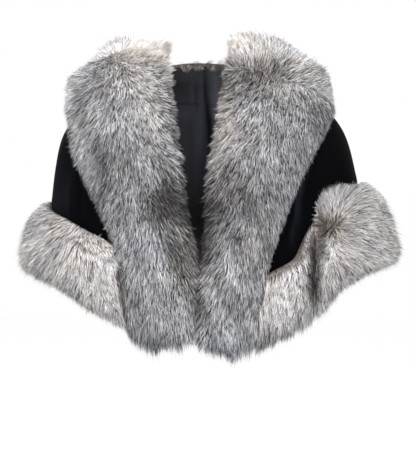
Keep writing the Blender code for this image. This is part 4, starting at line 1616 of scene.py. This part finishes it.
@dataclass(frozen=True)
class Studio:
    """The pale floor, the soft light and the camera."""

    floor_z: float = -1.40
    floor_size: float = 30.0
    world: float = 1.0
    distance: float = 2.4
    turn: float = 4.0
    aim_right: float = 0.0105
    camera_z: float = -0.303
    focal_px: float = 1371.4
    image_width: int = 416
    sensor: float = 36.0

    def build(self) -> None:
        """Lays the floor, lights the room and sets the camera."""
        bpy.context.scene.view_settings.view_transform = "Standard"
        self.lay_floor()
        self.light()
        self.set_camera()
        LOG.info("studio: floor, two lamps and camera")

    def lay_floor(self) -> None:
        """A plain square floor well below the stole."""
        half = self.floor_size / 2
        points = np.array(((-half, -half), (half, -half), (half, half), (-half, half)))
        points = np.column_stack((points, np.full(4, self.floor_z)))
        floor = put_mesh("floor", points, np.arange(4), np.array((0,)), np.array((4,)))
        desk = NodeDesk("floor_paint")
        tone = desk.noise(0.6, 2.0)
        color = desk.ramp(tone, ((0.3, (0.982, 0.982, 0.982)), (0.7, (0.988, 0.988, 0.988))))
        desk.link(color, desk.shader.inputs["Base Color"])
        desk.set(Roughness=0.9)
        floor.data.materials.append(desk.material)

    def light(self) -> None:
        """A white room, and two large soft lamps, the stronger one high in front on the wearer's right."""
        world = bpy.data.worlds.new("studio")
        world.use_nodes = True
        back = world.node_tree.nodes["Background"]
        back.inputs["Color"].default_value = (1, 1, 1, 1)
        back.inputs["Strength"].default_value = self.world
        bpy.context.scene.world = world
        self.lamp("key", (-0.5, -1.7, 2.4), 2.0, 95.0)
        self.lamp("fill", (1.5, -2.2, 1.0), 2.0, 22.0)

    def lamp(self, name: str, place: Triple, size: float, power: float) -> None:
        """An area lamp that faces the stole's middle."""
        data = bpy.data.lights.new(name, "AREA")
        data.size, data.energy = size, power
        lamp = bpy.data.objects.new(name, data)
        lamp.location = place
        lamp.rotation_euler = turned_to(np.array((0, 0, -0.25)) - np.array(place))
        bpy.context.scene.collection.objects.link(lamp)

    def set_camera(self) -> None:
        """The camera at the photograph's angle: level, a little to the wearer's left of the centre front."""
        angle = np.radians(self.turn)
        back = np.array((np.sin(angle), -np.cos(angle), 0.0))
        right = np.array((np.cos(angle), np.sin(angle), 0.0))
        place = back * self.distance + right * self.aim_right
        data = bpy.data.cameras.new("camera")
        data.sensor_fit = "HORIZONTAL"
        data.sensor_width = self.sensor
        data.lens = self.focal_px * self.sensor / self.image_width
        data.clip_end = 100
        camera = bpy.data.objects.new("camera", data)
        camera.location = (place[0], place[1], self.camera_z)
        camera.rotation_euler = (np.pi / 2, 0, angle)
        bpy.context.scene.collection.objects.link(camera)
        bpy.context.scene.camera = camera


def turned_to(way: np.ndarray) -> Triple:
    """Euler angles that turn -Z to a direction: a tilt from straight down, then a turn about Z."""
    way = way / np.linalg.norm(way)
    return np.arccos(-way[2]), 0.0, np.arctan2(-way[0], way[1])


GREY_COAT = Coat(49, 0.040, 0.0011, 0.52, 0.20, 0.42, 0.18, 0.26, 0.06, seed=11)
PALE_COAT = Coat(59, 0.038, 0.0010, 0.68, 0.42, 0.54, 0.16, 0.15, 0.09, seed=31)
BACK_COAT = Coat(28, 0.038, 0.0016, 0.64, 0.42, 0.52, 0.15, 0.14, 0.09, seed=47)

# Collar tone patches mix the hair's own colour with painted light. The lighter, warmer patches high up paint
# light from above over warmer hair. The dark brown patches by the inner edge are brown hair with painted
# shade where the fronts part. The darker, cooler patches low down are painted shade over bluish tips. The
# others make the hair darker or lighter in places.
RIGHT_COLLAR_PATCHES = (
    Patch(-0.080, 0.010, 0.075, 0.050, 0.30, 0.60, -0.50),
    Patch(-0.150, -0.060, 0.070, 0.070, 0.25, 0.10, -0.15),
    Patch(-0.075, -0.100, 0.030, 0.080, 0.15, 0.35, -0.15),
    Patch(-0.042, -0.262, 0.028, 0.045, -0.60, 0.10, 0.65),
    Patch(-0.016, -0.340, 0.020, 0.070, -0.35, 0.35, 0.40),
    Patch(-0.100, -0.230, 0.050, 0.060, -0.15, -0.10, 0.10),
    Patch(-0.155, -0.215, 0.018, 0.060, -0.30, -0.10, 0.25),
    Patch(-0.080, -0.490, 0.070, 0.040, -0.26, -0.25, 0.10),
)
LEFT_COLLAR_PATCHES = (
    Patch(0.055, 0.030, 0.060, 0.050, 0.34, 0.60, -0.35),
    Patch(0.160, -0.040, 0.050, 0.050, 0.25, 0.15, -0.25),
    # A dark brown band high on the shoulder: painted shade along the fur's roll, over browner hair.
    Patch(0.118, -0.040, 0.058, 0.030, -0.55, 0.55, 0.50),
    Patch(0.045, -0.120, 0.022, 0.080, 0.10, 0.55, -0.05),
    Patch(0.090, -0.140, 0.070, 0.050, 0.12, 0.10, -0.05),
    Patch(0.022, -0.285, 0.015, 0.045, -0.55, 0.35, 0.55),
    Patch(0.005, -0.380, 0.014, 0.080, -0.45, 0.40, 0.50),
    Patch(0.060, -0.260, 0.050, 0.060, -0.30, -0.05, 0.25),
    Patch(0.070, -0.500, 0.070, 0.040, -0.10, -0.25, 0.0),
)
# Border tone patches. The narrow dark patch at x 0.194 is painted shadow down the deep fold by the arm, with
# more dark hair in it, and the broad darker patch beside it at x 0.215 is painted shade round the fold. The
# darker, cooler patches low down are painted shade over bluish tips. The others make the hair browner, darker
# or lighter in places.
BORDER_PATCHES = (
    Patch(0.224, -0.296, 0.019, 0.018, -0.45, 0.80, 0.70),
    Patch(0.194, -0.350, 0.007, 0.065, -0.85, 0.10, 0.85),
    Patch(0.145, -0.415, 0.030, 0.035, 0.18, 0.05, -0.10),
    Patch(0.215, -0.390, 0.050, 0.050, -0.18, 0.05, 0.15),
    Patch(0.130, -0.480, 0.080, 0.025, -0.25, -0.30, 0.15),
    Patch(0.114, -0.382, 0.018, 0.011, -0.40, 1.00, 0.30),
    Patch(0.138, -0.360, 0.018, 0.011, -0.40, 1.00, 0.30),
    Patch(0.163, -0.336, 0.018, 0.012, -0.40, 1.00, 0.30),
    Patch(-0.204, -0.300, 0.060, 0.030, -0.03, 0.15, 0.08),
    Patch(-0.180, -0.420, 0.100, 0.030, -0.06, -0.05, 0.04),
)


def make_finishes() -> Finishes:
    """Every finish by its short name."""
    makers = {
        "hair": HairFinish(),
        "grey_undercoat": UndercoatFinish("grey_undercoat", (0.035, 0.032, 0.032), (0.14, 0.13, 0.128)),
        "pale_undercoat": UndercoatFinish("pale_undercoat", (0.07, 0.055, 0.048), (0.24, 0.205, 0.185)),
        "velvet": VelvetFinish(),
        "satin": SatinFinish(),
    }
    return {name: maker.make() for name, maker in makers.items()}


def neck_fringe(finishes: Finishes) -> None:
    """The back collar's first hairs, which rise over the neckline and hang in wisps on the lining."""
    coat = Coat(520, 0.024, 0.0007, 0.38, 0.70, 0.30, 0.18, 0.22, 0.24, 0.009, 0.38, 0.1, 0.4, seed=71)
    for side, first in ((Side.RIGHT, 8.25), (Side.LEFT, 8.15)):
        stations = np.linspace(first, LAST_STATION, 25)
        edge = lay_grid(side, FORM.collar_place, stations, np.array((0.0, 0.01, 0.02, 0.03)))
        up = unit(edge.points[:, :1] - edge.points[:, 1:2])
        crown = edge.points + (0.5 * edge.normals + up) * 0.0060
        lie = np.broadcast_to(np.array((0.0, -0.45, -1.0)), crown.shape).copy()
        lie[..., 0] = 1.1 * soft_noise(edge.points, 0.018, 9)
        stand = np.full(edge.station.shape, 0.1)
        weight = 0.05 + smooth_step((edge.station - first) / 0.35)
        weight = weight * np.clip(0.6 + 1.1 * soft_noise(edge.points, 0.022, 3), 0.05, None)
        grid = PileGrid(edge.points, crown, lie, stand, 0 * stand, weight)
        pelt = Pelt(
            side.named("collar"), grid, edge, coat, (), finishes, slot="grey_fur", undercoat="grey_undercoat",
            rests_on=(), cut=Collar.CUT, label=side.named("neck_fringe"),
        )
        fringe = pelt.grow()[0]
        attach(fringe, BODY)
        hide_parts(pelt.node)


def main() -> None:
    """Builds the stole's pieces in order, then the studio."""
    logging.basicConfig(level=logging.INFO, format="%(name)s: %(message)s")
    finishes = make_finishes()
    for side, patches in ((Side.RIGHT, RIGHT_COLLAR_PATCHES), (Side.LEFT, LEFT_COLLAR_PATCHES)):
        Collar(side, GREY_COAT, patches, finishes).build()
        stretch = (SEAM_STATION, SHOULDER_STATION, (side,))
        Border(side.named("border"), *stretch, PALE_COAT, BORDER_PATCHES, finishes, (0.40, 0.17)).build()
        VelvetPanel(side.named("front"), *stretch, finishes, (0.34, 0.24)).build()
    stretch = (SHOULDER_STATION, LAST_STATION, (Side.RIGHT, Side.LEFT))
    Border("border_back", *stretch, BACK_COAT, BORDER_PATCHES, finishes, (0.72, 0.17)).build()
    VelvetPanel("back", *stretch, finishes, (0.66, 0.30)).build()
    BackLining(finishes).build()
    neck_fringe(finishes)
    Studio().build()


if __name__ == "__main__":
    main()
